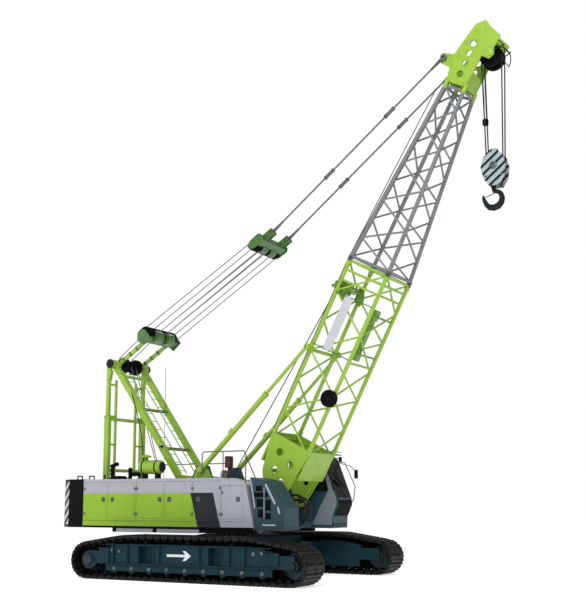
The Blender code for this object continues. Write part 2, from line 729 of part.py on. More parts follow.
# ---------------------------------------------------------------- boom
FOOT_CHEEK = [
    (-0.13, -0.06),
    (-0.06, -0.13),
    (0.10, -0.15),
    (FOOT_END, BOOM_MID - BASE_HALF_N - 0.05),
    (FOOT_END, BOOM_MID + BASE_HALF_N + 0.05),
    (0.50, 0.66),
    (0.20, 0.46),
    (-0.06, 0.13),
    (-0.13, 0.06),
]
CHEEK_HOLES = [
    ring(1.10, 0.42, 0.10, 10),
    ring(0.95, 0.02, 0.09, 10),
    ring(0.66, 0.36, 0.09, 10),
    ring(0.48, 0.08, 0.08, 10),
]
base = []
for sign in (-1, 1):
    span = sorted((sign * 0.60, sign * 0.66))
    base.append(plate([FOOT_CHEEK, *CHEEK_HOLES, ring(0, 0, 0.06, 12)], *span))
for low, high in ((-0.335, -0.285), (0.785, 0.835)):
    base.append(block((0.70, -0.62, low), (FOOT_END, 0.62, high)))


def lattice(s0, s1, half0, half1, bays):
    """Chords, frames and lacing of one boom section."""
    tubes = []

    def corner(share, side, face):
        s = s0 + (s1 - s0) * share
        half_y = half0[0] + (half1[0] - half0[0]) * share
        half_n = half0[1] + (half1[1] - half0[1]) * share
        return (s, side * half_y, BOOM_MID + face * half_n)

    for side in (-1, 1):
        for face in (-1, 1):
            tubes.append(rod(corner(0, side, face), corner(1, side, face), CHORD, 6))
    for bay in range(bays):
        a, b = bay / bays, (bay + 1) / bays
        flip = 1 if bay % 2 else -1
        for side in (-1, 1):
            tubes.append(rod(corner(a, side, flip), corner(b, side, -flip), LACE, 4))
        for face in (-1, 1):
            tubes.append(rod(corner(a, flip, face), corner(b, -flip, face), LACE, 4))
    for share in (0.0, 1.0):
        for side in (-1, 1):
            tubes.append(rod(corner(share, side, -1), corner(share, side, 1), LACE * 1.5, 4))
        for face in (-1, 1):
            tubes.append(rod(corner(share, -1, face), corner(share, 1, face), LACE * 1.5, 4))
    return tubes


half_base = (BASE_HALF_Y, BASE_HALF_N)
base += lattice(FOOT_END - 0.12, BASE_END, half_base, half_base, 6)
for sign in (-1, 1):
    span = sorted((sign * 0.60, sign * (STRUT_Y - EYE_CLEAR)))
    base.append(axle(STRUT_S, STRUT_N, span[0], span[1], 0.03, 12))
    lug = sign * 0.64
    base.append(block((STRUT_S - 0.12, lug - 0.03, 0.74), (STRUT_S + 0.12, lug + 0.03, 0.86)))
node("boom_base", base, parent=boom, colour="green")

top = lattice(BASE_END + GAP + 0.10, TOP_END - 0.06, half_base, (HEAD_HALF_Y, HEAD_HALF_N), 9)
node("boom_top", top, parent=boom, colour="steel")

HEAD_PLATE = [
    (10.66, 0.00),
    (11.10, -0.04),
    (11.44, -0.06),
    (11.42, -0.26),
    (11.55, -0.33),
    (11.70, -0.26),
    (12.00, -0.30),
    (12.13, 0.02),
    (12.25, 0.20),
    (12.10, 0.40),
    (11.55, 0.55),
    (11.30, 0.60),
    (11.26, 0.90),
    (11.04, 0.90),
    (10.98, 0.58),
    (10.66, 0.50),
]
HEAD_HOLES = [
    ring(10.91, 0.25, 0.085, 12),
    ring(11.18, 0.25, 0.075, 12),
    ring(11.42, 0.25, 0.075, 12),
    ring(11.66, 0.25, 0.085, 12),
]
head = []
for sign in (-1, 1):
    span = sorted((sign * 0.30, sign * 0.34))
    head.append(plate([HEAD_PLATE, *HEAD_HOLES], *span))
head.append(block((10.66, -0.32, 0.47), (10.95, 0.32, 0.50)))
head.append(block((10.66, -0.32, -0.005), (11.05, 0.32, 0.03)))
head.append(block((11.80, -0.32, 0.10), (11.84, 0.32, 0.40)))
head.append(axle(SHEAVE_S, SHEAVE_N, -0.33, 0.33, 0.045, 12))
for sign in (-1, 1):
    span = sorted((sign * 0.32, sign * (PENDANT_Y - EYE_CLEAR)))
    head.append(axle(STAY_S, STAY_N, span[0], span[1], 0.028, 12))
node("boom_head", head, parent=boom, colour="green")

sheaves = [axle(SHEAVE_S, SHEAVE_N, -0.24, 0.24, 0.09, 14)]
for y in (-0.12, 0.12):
    sheaves.append(axle(SHEAVE_S, SHEAVE_N, y - 0.035, y + 0.035, SHEAVE_RADIUS, 14))
bore = [axle(SHEAVE_S, SHEAVE_N, -0.4, 0.4, 0.0455, 12)]
node("head_sheaves", sheaves, bore, parent=boom, colour="black")

reel = [axle(2.80, -0.26, -0.80, -0.76, 0.20, 20)]
reel.append(axle(2.80, -0.26, -0.78, -0.70, 0.10, 14))
reel.append(axle(2.80, -0.26, -0.72, -0.70 + 0.02, 0.20, 20))
node("cable_reel", reel, parent=boom, colour="black")

# ---------------------------------------------------------------- backstops
strut_head = boom_point(STRUT_S, STRUT_N)
strut_line = strut_head - STRUT_FOOT
strut_angle = math.degrees(math.atan2(strut_line.z, strut_line.x))
strut_pivot = pivot("backstop_pivot", STRUT_FOOT, strut_angle, upper)
stroke = pivot("backstop_stroke", (strut_line.length, 0, 0), 0.0, strut_pivot)
for side, sign in SIDES:
    y = sign * STRUT_Y
    tube = [rod((0.05, y, 0), (2.62, y, 0), 0.065, 12)]
    tube.append(axle(0, 0, y - 0.03, y + 0.03, 0.08, 14))
    hollow = [rod((0.25, y, 0), (2.8, y, 0), 0.05, 12)]
    hollow.append(axle(0, 0, y - 0.1, y + 0.1, 0.036, 12))
    node(f"backstop_tube_{side}", tube, hollow, parent=strut_pivot, colour="green")
    bar = [rod((-2.95, y, 0), (-0.05, y, 0), 0.042, 12)]
    bar.append(axle(0, 0, y - 0.03, y + 0.03, 0.075, 14))
    eye = [axle(0, 0, y - 0.1, y + 0.1, 0.036, 12)]
    node(f"backstop_rod_{side}", bar, eye, parent=stroke, colour="green")

# ---------------------------------------------------------------- hook
sheave_axis = boom_point(SHEAVE_S, SHEAVE_N)
plumb = pivot("hook_plumb", sheave_axis, -BOOM_ANGLE, None)
plumb.parent = boom
plumb.location = (SHEAVE_S, 0, SHEAVE_N)
plumb.rotation_euler = (0, math.radians(BOOM_ANGLE), 0)
drop = BLOCK_Z - sheave_axis.z
hoist = pivot("hook_hoist", (BLOCK_X - sheave_axis.x, 0, drop), 0.0, plumb)

limit = [rod((-0.215, 0, -1.60), (-0.215, 0, -1.46), 0.07, 12)]
limit_bore = [rod((-0.215, 0, -1.8), (-0.215, 0, -1.2), 0.045, 12)]
node("hoist_limit_weight", limit, limit_bore, parent=plumb, colour="black")

CHEEK = [
    (0.06, 0.42),
    (-0.08, 0.40),
    (-0.24, 0.22),
    (-0.30, 0.02),
    (-0.24, -0.26),
    (-0.12, -0.44),
    (0.12, -0.44),
    (0.24, -0.26),
    (0.28, 0.02),
    (0.22, 0.24),
]
block_pieces = [plate([CHEEK], -0.17, -0.13), plate([CHEEK], 0.13, 0.17)]
for y in (-0.08, 0.08):
    block_pieces.append(axle(0, 0.02, y - 0.035, y + 0.035, 0.21, 16))
block_pieces.append(axle(0, 0.02, -0.20, 0.20, 0.05, 12))
block_pieces.append(block((-0.11, -0.15, -0.44), (0.11, 0.15, -0.30)))
hook_bore = [rod((-0.06, 0, -0.60), (-0.06, 0, -0.20), 0.056, 12)]
node("hook_block", block_pieces, hook_bore, parent=hoist, colour="white")

swivel = pivot("hook_swivel", (-0.06, 0, HOOK_Z - BLOCK_Z), 0.0, hoist)
HOOK = [
    (-0.045, 0.265),
    (-0.045, 0.22),
    (-0.05, 0.18),
    (0.02, 0.14),
    (0.10, 0.07),
    (0.12, 0.0),
    (0.09, -0.08),
    (0.02, -0.13),
    (-0.06, -0.12),
    (-0.13, -0.05),
    (-0.16, 0.02),
    (-0.19, 0.10),
    (-0.24, 0.12),
    (-0.28, 0.06),
    (-0.27, -0.06),
    (-0.21, -0.18),
    (-0.10, -0.26),
    (0.02, -0.28),
    (0.14, -0.24),
    (0.23, -0.15),
    (0.27, -0.02),
    (0.24, 0.12),
    (0.15, 0.21),
    (0.05, 0.235),
    (0.045, 0.265),
]
hook_pieces = [plate([HOOK], -0.05, 0.05)]
hook_pieces.append(rod((0, 0, 0.20), (0, 0, 0.42), 0.05, 12))
node("hook", hook_pieces, parent=swivel, colour="black")
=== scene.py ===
# %% [markdown]
# # A crawler crane, finished step by step
# The machine is already built as plain solids on moving bodies. This lesson gives it its looks: lattice
# tubes, ropes, track shoes, ladders, paint and glass. A model like this could be textured by hand, but
# every finish here is a small node graph and every new shape comes from a few mesh operators, so that each
# choice can be read.

# %% Load the frame
import json
import math

import bmesh
import bpy
from mathutils import Matrix, Vector
from mathutils.geometry import convex_hull_2d


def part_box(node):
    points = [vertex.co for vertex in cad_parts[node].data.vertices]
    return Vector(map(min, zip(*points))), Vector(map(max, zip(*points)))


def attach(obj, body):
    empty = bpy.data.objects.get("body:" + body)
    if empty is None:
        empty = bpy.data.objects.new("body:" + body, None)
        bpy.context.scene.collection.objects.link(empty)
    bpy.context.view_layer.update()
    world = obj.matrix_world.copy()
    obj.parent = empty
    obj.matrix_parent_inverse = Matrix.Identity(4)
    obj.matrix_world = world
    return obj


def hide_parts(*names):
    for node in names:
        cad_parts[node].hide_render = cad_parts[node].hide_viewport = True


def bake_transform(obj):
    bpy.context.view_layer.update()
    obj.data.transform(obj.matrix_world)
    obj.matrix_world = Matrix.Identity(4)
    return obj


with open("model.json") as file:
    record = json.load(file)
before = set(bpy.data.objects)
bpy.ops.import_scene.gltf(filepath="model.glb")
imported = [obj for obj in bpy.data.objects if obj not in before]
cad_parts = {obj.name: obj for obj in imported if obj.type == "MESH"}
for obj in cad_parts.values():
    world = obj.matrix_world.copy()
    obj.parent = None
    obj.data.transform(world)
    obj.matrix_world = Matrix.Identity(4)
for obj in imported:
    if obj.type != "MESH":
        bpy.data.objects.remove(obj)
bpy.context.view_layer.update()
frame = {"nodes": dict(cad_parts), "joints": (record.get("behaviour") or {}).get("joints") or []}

JOINTS = {joint["name"]: joint for joint in frame["joints"]}
AXIS_X = JOINTS["slew"]["pos_m"][0]

# %% [markdown]
# ## Finding places
# Places are read from the joints and from the boxes of the solids. The slewing axis is the natural middle
# of a crane, so lengths along it are measured from there. The boom has its own directions: along it, across
# the machine, and out of its rear face. A matrix takes a point from those directions to the machine's.


# %% Places on the machine and on the boom
def at(x, y, z):
    """A point given from the slewing axis."""
    return Vector((AXIS_X + x, y, z))


def turned(origin, degrees):
    """The matrix of a frame whose X axis is turned up by some degrees."""
    return Matrix.Translation(origin) @ Matrix.Rotation(-math.radians(degrees), 4, "Y")


BOOM_ANGLE = 62.8
BOOM = turned(JOINTS["boom_luff"]["pos_m"], BOOM_ANGLE)
ROPE_ANGLE = math.degrees(
    math.atan2(JOINTS["spreader_travel"]["axis"][2], JOINTS["spreader_travel"]["axis"][0])
)
BAIL = turned(JOINTS["bail_swing"]["pos_m"], ROPE_ANGLE)
CENTRE = Matrix.Translation((AXIS_X, 0, 0))
SIDES = (("right", -1), ("left", 1))


def boom_at(s, y, n):
    return BOOM @ Vector((s, y, n))


print("boom foot", BOOM.translation[:], "ropes rise at", round(ROPE_ANGLE, 1))

# %% [markdown]
# ## A small workshop
# Each piece starts as an empty bmesh. The workshop below adds bars, tubes, plates and turned shapes to it
# with the create, extrude, spin and bevel operators, and then turns it into an object that rides on a body.
# Working on one bmesh keeps a ladder or a lattice a single piece, which is lighter than hundreds of
# objects.


# %% The workshop
class Piece:
    """One piece in the making."""

    def __init__(self, matrix=None):
        self.mesh = bmesh.new()
        self.matrix = matrix or Matrix.Identity(4)

    def cube(self, matrix, size, bevel=0.0):
        made = bmesh.ops.create_cube(self.mesh, size=1.0, matrix=matrix @ Matrix.Diagonal((*size, 1.0)))
        self.soften(made["verts"], bevel)

    def soften(self, verts, bevel):
        """Cuts a chamfer along the edges at some points, unless its size is zero."""
        if not bevel:
            return
        edges = list(dict.fromkeys(edge for vert in verts for edge in vert.link_edges))
        bmesh.ops.bevel(
            self.mesh, geom=edges, offset=bevel, affect="EDGES", segments=1, profile=0.5, material=-1
        )

    def box(self, low, high, bevel=0.0):
        low, high = Vector(low), Vector(high)
        place = self.matrix @ Matrix.Translation((low + high) / 2)
        self.cube(place, [abs(b - a) for a, b in zip(low, high)], bevel)

    def line(self, start, end):
        """The matrix that lays Z from start to end and keeps Y across, with the length."""
        start, end = self.matrix @ Vector(start), self.matrix @ Vector(end)
        along = (end - start).normalized()
        across = Vector((1, 0, 0)) if abs(along.y) > 0.99 else Vector((0, 1, 0))
        side = (across - along * across.dot(along)).normalized()
        turn = Matrix((side.cross(along), side, along)).transposed().to_4x4()
        return Matrix.Translation((start + end) / 2) @ turn, (end - start).length

    def bar(self, start, end, wide, deep, bevel=0.0):
        place, length = self.line(start, end)
        self.cube(place, (deep, wide, length), bevel)

    def tube(self, start, end, radius, sides=8, end_radius=None):
        place, length = self.line(start, end)
        bmesh.ops.create_cone(
            self.mesh,
            cap_ends=True,
            segments=sides,
            radius1=radius,
            radius2=radius if end_radius is None else end_radius,
            depth=length,
            matrix=place,
        )

    def path(self, points, radius, sides=8):
        """A pipe through some points, with a ball of the same radius at each bend."""
        for start, end in zip(points, points[1:]):
            self.tube(start, end, radius, sides)
        for point in points[1:-1]:
            self.ball(point, radius * 1.02, 8, 6)

    def ball(self, middle, radius, around=12, rings=8):
        place = Matrix.Translation(self.matrix @ Vector(middle))
        bmesh.ops.create_uvsphere(self.mesh, u_segments=around, v_segments=rings, radius=radius, matrix=place)

    def turned(self, profile, start, direction, sides=24):
        """A solid of revolution: (distance along, radius) pairs spun about a line."""
        start, direction = Vector(start), Vector(direction).normalized()
        place, length = self.line(start, start + direction)
        place = place @ Matrix.Translation((0, 0, -length / 2))
        before = set(self.mesh.verts)
        verts = [self.mesh.verts.new((radius, 0, along)) for along, radius in profile]
        edges = [self.mesh.edges.new(pair) for pair in zip(verts, verts[1:])]
        bmesh.ops.spin(
            self.mesh,
            geom=verts + edges,
            axis=(0, 0, 1),
            cent=(0, 0, 0),
            angle=math.tau,
            steps=sides,
            use_merge=True,
        )
        fresh = [vert for vert in self.mesh.verts if vert not in before]
        bmesh.ops.remove_doubles(self.mesh, verts=fresh, dist=1e-5)
        fresh = [vert for vert in self.mesh.verts if vert not in before]
        bmesh.ops.transform(self.mesh, matrix=place, verts=fresh)

    def sheet(self, outline, y0, y1, bevel=0.0):
        """A plate across Y from an outline of (x, z) pairs."""
        verts = [self.mesh.verts.new(self.matrix @ Vector((x, y0, z))) for x, z in outline]
        face = self.mesh.faces.new(verts)
        grown = bmesh.ops.extrude_face_region(self.mesh, geom=[face])
        push = self.matrix.to_3x3() @ Vector((0, y1 - y0, 0))
        moved = [item for item in grown["geom"] if isinstance(item, bmesh.types.BMVert)]
        bmesh.ops.translate(self.mesh, vec=push, verts=moved)
        self.soften(verts + moved, bevel)

    def bolt(self, middle, direction, radius=0.018):
        """A hexagon head on its washer."""
        middle, direction = Vector(middle), Vector(direction).normalized()
        self.tube(middle, middle + direction * radius * 0.3, radius * 1.5, 12)
        self.tube(middle, middle + direction * radius * 1.1, radius, 6)

    def bolt_ring(self, middle, direction, reach, count, radius, first=0.0):
        """Bolts at equal steps on a circle that lies across Y."""
        for turn in range(count):
            spin = math.tau * (turn + first) / count
            spot = Vector(middle) + Vector((math.cos(spin), 0, math.sin(spin))) * reach
            self.bolt(spot, direction, radius)

    def finish(self, name, body, finish, smooth=35):
        """Turns the bmesh into an object at the origin that rides on a body."""
        bmesh.ops.recalc_face_normals(self.mesh, faces=self.mesh.faces)
        data = bpy.data.meshes.new(name)
        self.mesh.to_mesh(data)
        self.mesh.free()
        data.materials.append(finish)
        data.shade_smooth()
        data.set_sharp_from_angle(angle=math.radians(smooth))
        made = bpy.data.objects.new(name, data)
        bpy.context.scene.collection.objects.link(made)
        if body:
            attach(made, body)
        PIECES.append((name, len(data.polygons)))
        return made


PIECES = []


def boss(radius, flat, rise, top):
    """The profile of a round boss: straight to its rise, then bevelled to a flat top."""
    return ((0, radius), (rise, radius), (top, flat), (top, 0))


def ring_profile(inner, outer, half):
    """The profile of a flat ring."""
    return ((-half, inner), (-half, outer), (half, outer), (half, inner), (-half, inner))


def recoat(finishes):
    """Gives solids that stay in sight a finish of their own."""
    for name, finish in finishes.items():
        slots = frame["nodes"][name].data.materials
        slots.clear()
        slots.append(finish)


print("the workshop is open")

# %% [markdown]
# ## Paint, steel and glass
# Painted steel on a working crane is never one flat colour: the coat varies a little, dust settles in it,
# and the gloss breaks up. The graphs below are written as sums. A small class wraps a socket, so that
# adding or multiplying two of them adds the Math node that does it, and one method makes any other node.


# %% Sockets that can be added and multiplied
class Wire:
    """A socket that takes part in arithmetic."""

    def __init__(self, finish, socket):
        self.finish = finish
        self.socket = socket

    def maths(self, operation, first, second):
        return self.finish.node(
            "ShaderNodeMath", {"operation": operation, "use_clamp": False}, {0: first, 1: second}
        )

    def __add__(self, other):
        return self.maths("ADD", self, other)

    def __sub__(self, other):
        return self.maths("SUBTRACT", self, other)

    def __rsub__(self, other):
        return self.maths("SUBTRACT", other, self)

    def __mul__(self, other):
        return self.maths("MULTIPLY", self, other)

    def __gt__(self, other):
        return self.maths("GREATER_THAN", self, other)

    def __lt__(self, other):
        return self.maths("LESS_THAN", self, other)

    def most(self, other):
        return self.maths("MAXIMUM", self, other)

    def wrapped(self, length):
        return self.maths("FLOORED_MODULO", self, length)

    def size(self):
        return self.maths("ABSOLUTE", self, 0.0)

    __radd__ = __add__
    __rmul__ = __mul__


class Finish:
    """A material and the nodes that make it."""

    def __init__(self, name, metallic=0.0, coat=0.0, specular=0.4):
        self.material = bpy.data.materials.new(name)
        self.material.use_nodes = True
        self.tree = self.material.node_tree
        self.shader = self.tree.nodes["Principled BSDF"]
        self.shader.inputs["Metallic"].default_value = metallic
        self.shader.inputs["Coat Weight"].default_value = coat
        self.shader.inputs["Specular IOR Level"].default_value = specular

    def node(self, kind, settings=None, inputs=None, output=0):
        """A node of a kind, with its settings made first and then its sockets set or linked."""
        made = self.tree.nodes.new(kind)
        for key, value in (settings or {}).items():
            setattr(made, key, value)
        for key, value in (inputs or {}).items():
            if isinstance(value, Wire):
                self.tree.links.new(value.socket, made.inputs[key])
            else:
                made.inputs[key].default_value = value
        return Wire(self, made.outputs[output])

    def place(self):
        """Where a point lies on the object, in metres."""
        return self.node("ShaderNodeTexCoord", output=3)

    def axes(self):
        split = self.node("ShaderNodeSeparateXYZ", {}, {0: self.place()})
        outputs = split.socket.node.outputs
        return [Wire(self, output) for output in outputs]

    def noise(self, scale, detail=3.0, stretch=(1, 1, 1)):
        spot = self.node("ShaderNodeMapping", {}, {0: self.place(), "Scale": stretch})
        return self.node("ShaderNodeTexNoise", {}, {"Vector": spot, "Scale": scale, "Detail": detail})

    def spread(self, value, low, high, to_low=0.0, to_high=1.0):
        """Takes low..high of a value to another range, and holds it inside."""
        sockets = {0: value, 1: low, 2: high, 3: to_low, 4: to_high}
        return self.node("ShaderNodeMapRange", {"clamp": True}, sockets)

    def blend(self, share, first, second):
        """A mix of two colours."""
        ends = [(*end, 1.0) if isinstance(end, tuple) else end for end in (first, second)]
        made = self.node("ShaderNodeMix", {"data_type": "RGBA"}, {0: share, 6: ends[0], 7: ends[1]}, 2)
        return made

    def give(self, **values):
        """Links wires to the shader's sockets."""
        for key, value in values.items():
            socket = self.shader.inputs[key.replace("_", " ").title()]
            if isinstance(value, Wire):
                self.tree.links.new(value.socket, socket)
            else:
                socket.default_value = value

    def bumps(self, height, strength, distance=0.01):
        made = self.node("ShaderNodeBump", {}, {"Strength": strength, "Distance": distance, "Height": height})
        self.give(Normal=made)


def mixed(colour, share, other=(0, 0, 0)):
    """A colour moved towards another, worked out here and not in nodes."""
    return tuple(a + (b - a) * share for a, b in zip(colour, other))


# %% [markdown]
# ### Painted steel
# Three things make paint look like paint on steel: a slow drift of its colour, dirt that gathers in patches
# and runs down, and a gloss that the dirt dulls. Dust is light on dark paint and dark on light paint.

# %% A coat of paint
DUST = (0.30, 0.28, 0.24)
GRIME = (0.035, 0.035, 0.03)


def worn(finish, colour, dirt=0.35, gloss=0.38, tone=0.12):
    """Weathers a colour, which may be a wire, and links it to the shader."""
    drift = finish.spread(finish.noise(1.3, 2.0), 0.35, 0.65)
    dark = (0.55, 0.55, 0.55)
    shade = finish.node(
        "ShaderNodeMix",
        {"data_type": "RGBA", "blend_type": "MULTIPLY"},
        {0: drift * tone, 6: colour if isinstance(colour, Wire) else (*colour, 1.0), 7: (*dark, 1.0)},
        2,
    )
    runs = finish.spread(finish.noise(5.0, 4.0, (1.0, 1.0, 0.22)), 0.55, 0.78)
    patches = finish.spread(finish.noise(0.9, 3.0), 0.45, 0.7)
    mask = runs * patches
    finish.give(base_color=finish.blend(mask * dirt, shade, GRIME), roughness=mask * 0.3 + gloss)
    finish.bumps(finish.noise(60.0, 2.0), 0.05, 0.002)
    return finish.material


def paint(name, colour, dirt=0.35, gloss=0.38, coat=0.1, specular=0.4):
    return worn(Finish(name, coat=coat, specular=specular), colour, dirt, gloss)


LIME = (0.268, 0.455, 0.030)
LEAF = (0.052, 0.150, 0.030)
SILVER = (0.385, 0.395, 0.440)
PALE = (0.370, 0.400, 0.440)
TEAL = (0.007, 0.032, 0.044)
SLATE = (0.030, 0.062, 0.080)
CHARCOAL = (0.013, 0.018, 0.022)
BLACK = (0.004, 0.004, 0.005)

lime_paint = paint("lime_paint", LIME)
leaf_paint = paint("leaf_green_paint", LEAF)
tube_paint = paint("grey_tube_paint", (0.170, 0.180, 0.195), dirt=0.55)
pale_paint = paint("pale_grey_paint", PALE)
teal_paint = paint("undercarriage_paint", TEAL, dirt=0.25, gloss=0.5, coat=0.0, specular=0.12)
slate_paint = paint("deck_paint", SLATE, dirt=0.4, gloss=0.5, coat=0.0, specular=0.2)
black_paint = paint("black_paint", BLACK, dirt=0.15, gloss=0.55, coat=0.0, specular=0.05)
charcoal_paint = paint("charcoal_paint", CHARCOAL, dirt=0.2, gloss=0.5, coat=0.0, specular=0.08)
white_paint = paint("white_paint", (0.70, 0.72, 0.72), dirt=0.4)


# %% [markdown]
# ### Bare metal, rubber, rope and glass
# Track shoes are cast steel, dull on their sides and rubbed bright where they meet the ground. A wire rope
# is bare steel whose lay shows as slanting lines: bands that climb as they go round. Cab glass is tinted,
# so it is dark and glossy rather than clear.


# %% Metals, rubber and glass
def metal(name, colour, roughness, scale=14.0, metallic=0.85):
    finish = Finish(name, metallic=metallic, specular=0.25)
    spots = finish.spread(finish.noise(scale, 5.0), 0.38, 0.66)
    finish.give(
        base_color=finish.blend(spots, colour, mixed(colour, 0.55)), roughness=spots * 0.25 + roughness
    )
    finish.bumps(finish.noise(scale * 4, 3.0), 0.12, 0.003)
    return finish.material


def rope_metal(name, colour):
    finish = Finish(name, metallic=0.6)
    x, y, z = finish.axes()[:3]
    lay = (x * 38.0 + y * 60.0 + z * 38.0).wrapped(1.0)
    strand = finish.spread((lay - 0.5).size(), 0.1, 0.45)
    finish.give(base_color=finish.blend(strand, colour, mixed(colour, 0.7)), roughness=strand * 0.2 + 0.4)
    finish.bumps(strand, 0.3, 0.004)
    return finish.material


def tinted_glass(name, colour):
    finish = Finish(name, specular=0.12)
    haze = finish.spread(finish.noise(3.0, 3.0), 0.4, 0.7)
    finish.give(base_color=finish.blend(haze * 0.05, colour, DUST), roughness=haze * 0.06 + 0.03)
    finish.shader.inputs["Alpha"].default_value = 0.96
    return finish.material


shoe_steel = metal("shoe_steel", (0.011, 0.0115, 0.013), 0.48, 9.0, 0.2)
bright_steel = metal("bright_steel", (0.42, 0.43, 0.44), 0.28, 20.0)
dull_steel = metal("dull_steel", (0.16, 0.165, 0.17), 0.42, 12.0)
drum_steel = metal("drum_steel", (0.030, 0.045, 0.050), 0.42, 8.0, 0.6)
wire_rope = rope_metal("wire_rope", (0.19, 0.19, 0.22))
hoist_rope = rope_metal("hoist_rope", (0.020, 0.020, 0.024))
pendant_rope = rope_metal("pendant_rope", (0.20, 0.20, 0.23))
cab_glass = tinted_glass("tinted_glass", (0.003, 0.004, 0.006))
rubber = metal("black_rubber", (0.018, 0.018, 0.019), 0.62, 30.0, 0.0)
print("finishes:", len(bpy.data.materials))

# %% [markdown]
# ## The camera comes first
# A long lens well back from the machine keeps its lines nearly parallel, as in a maker's brochure. The
# camera stands low by the near front corner. A level camera with a large lens shift would keep posts dead
# upright, but the shift would push the machine out of every other view, so a small shift and a slight tilt
# share the work.

# %% Camera
camera_data = bpy.data.cameras.new("camera")
camera = bpy.data.objects.new("camera", camera_data)
bpy.context.scene.collection.objects.link(camera)
bpy.context.scene.camera = camera
CAMERA_TILT = 98.31
CAMERA_TURN = 29.27
LENS_RATIO = 993.0 / 595.0
camera.location = at(13.393, -21.298, 1.811)
camera.rotation_euler = (math.radians(CAMERA_TILT), 0, math.radians(CAMERA_TURN))
camera_data.sensor_width = 36.0
camera_data.lens = LENS_RATIO * camera_data.sensor_width
camera_data.shift_y = 0.10
print("lens", round(camera_data.lens, 1), "mm")

# %% [markdown]
# ## Floor and light
# The floor and the sky are both white to the camera, so that the machine stands on nothing but its own
# shadow. Three large soft lamps light it: the strongest from the front and above, one from the side and one
# from behind. The world fills the shadows a little.

# %% Floor, lamps and world
floor = Piece()
bmesh.ops.create_grid(floor.mesh, x_segments=1, y_segments=1, size=400.0)
floor_finish = Finish("white_floor")
mottle = floor_finish.spread(floor_finish.noise(0.4, 2.0), 0.3, 0.7, 0.90, 0.94)
floor_finish.give(
    base_color=floor_finish.node("ShaderNodeCombineColor", {}, {0: mottle, 1: mottle, 2: mottle})
)
floor_finish.give(roughness=0.9, emission_color=(1.0, 1.0, 1.0, 1.0))
floor_finish.shader.inputs["Emission Strength"].default_value = 0.62
floor = floor.finish("floor", None, floor_finish.material)


def lamp(name, place, target, size, power):
    """A large square lamp that faces a point."""
    data = bpy.data.lights.new(name, "AREA")
    data.shape = "SQUARE"
    data.size = size
    data.energy = power
    made = bpy.data.objects.new(name, data)
    bpy.context.scene.collection.objects.link(made)
    made.location = place
    made.rotation_euler = (Vector(target) - Vector(place)).to_track_quat("-Z", "Y").to_euler()


MIDDLE = (0.0, 0.0, 4.0)
lamp("key_lamp", (9, -20, 20), MIDDLE, 12.0, 3300)
lamp("side_lamp", (-18, -10, 10), MIDDLE, 12.0, 900)
lamp("back_lamp", (-12, 17, 18), MIDDLE, 12.0, 900)
world = bpy.data.worlds.new("studio")
bpy.context.scene.world = world
world.use_nodes = True
nodes, links = world.node_tree.nodes, world.node_tree.links
background = nodes["Background"]
path = nodes.new("ShaderNodeLightPath")
seen = nodes.new("ShaderNodeMath")
seen.operation = "MAXIMUM"
links.new(path.outputs["Is Camera Ray"], seen.inputs[0])
links.new(path.outputs["Is Transmission Ray"], seen.inputs[1])
level = nodes.new("ShaderNodeMapRange")
level.inputs["To Min"].default_value = 0.42
level.inputs["To Max"].default_value = 1.0
links.new(seen.outputs[0], level.inputs["Value"])
links.new(level.outputs[0], background.inputs["Strength"])
background.inputs["Color"].default_value = (1, 1, 1, 1)
bpy.context.scene.view_settings.view_transform = "Standard"
print("lamps:", len(bpy.data.lights))

# %% [markdown]
# ## Crawler tracks
# A track is an endless chain of cast shoes. Each shoe has a flat pad with two raised bars on its ground
# side and a pair of lugs inside that the rollers and the sprocket run between. One shoe could be an array
# on a curve, but a loop that lays shoes at equal steps round the belt gives each its true chord, with the
# gaps open at the ends.

# %% The path of the belt
SHOES = 66
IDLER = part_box("idler_right")
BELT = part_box("track_right")
WHEEL = (IDLER[0] + IDLER[1]) / 2 - Vector((AXIS_X, 0, 0))
TOP_BEND = 0.30
TOP_END = 1.70
SHOE_WIDTH = BELT[1].y - BELT[0].y


def belt_points():
    """The belt's outside, counterclockwise from below: two end wheels, and two gentle bends on top."""
    cloud = []
    for x, z, radius in (
        (-WHEEL.x, WHEEL.z, WHEEL.z),
        (WHEEL.x, WHEEL.z, WHEEL.z),
        (-TOP_END, BELT[1].z - TOP_BEND, TOP_BEND),
        (TOP_END, BELT[1].z - TOP_BEND, TOP_BEND),
    ):
        for step in range(96):
            turn = math.tau * step / 96
            cloud.append(Vector((x + radius * math.cos(turn), z + radius * math.sin(turn))))
    return [cloud[i] for i in convex_hull_2d(cloud)]


def evenly(points, count):
    """Points at equal steps round a closed line."""
    sides = list(zip(points, points[1:] + points[:1]))
    total = sum((b - a).length for a, b in sides)
    found, walked, side = [], 0.0, 0
    for step in range(count):
        goal = total * step / count
        while walked + (sides[side][1] - sides[side][0]).length < goal:
            walked += (sides[side][1] - sides[side][0]).length
            side += 1
        a, b = sides[side]
        found.append(a.lerp(b, (goal - walked) / (b - a).length))
    return found


BELT_STOPS = evenly(belt_points(), SHOES)
PITCH = (BELT_STOPS[1] - BELT_STOPS[0]).length
print("shoe pitch", round(PITCH, 3))

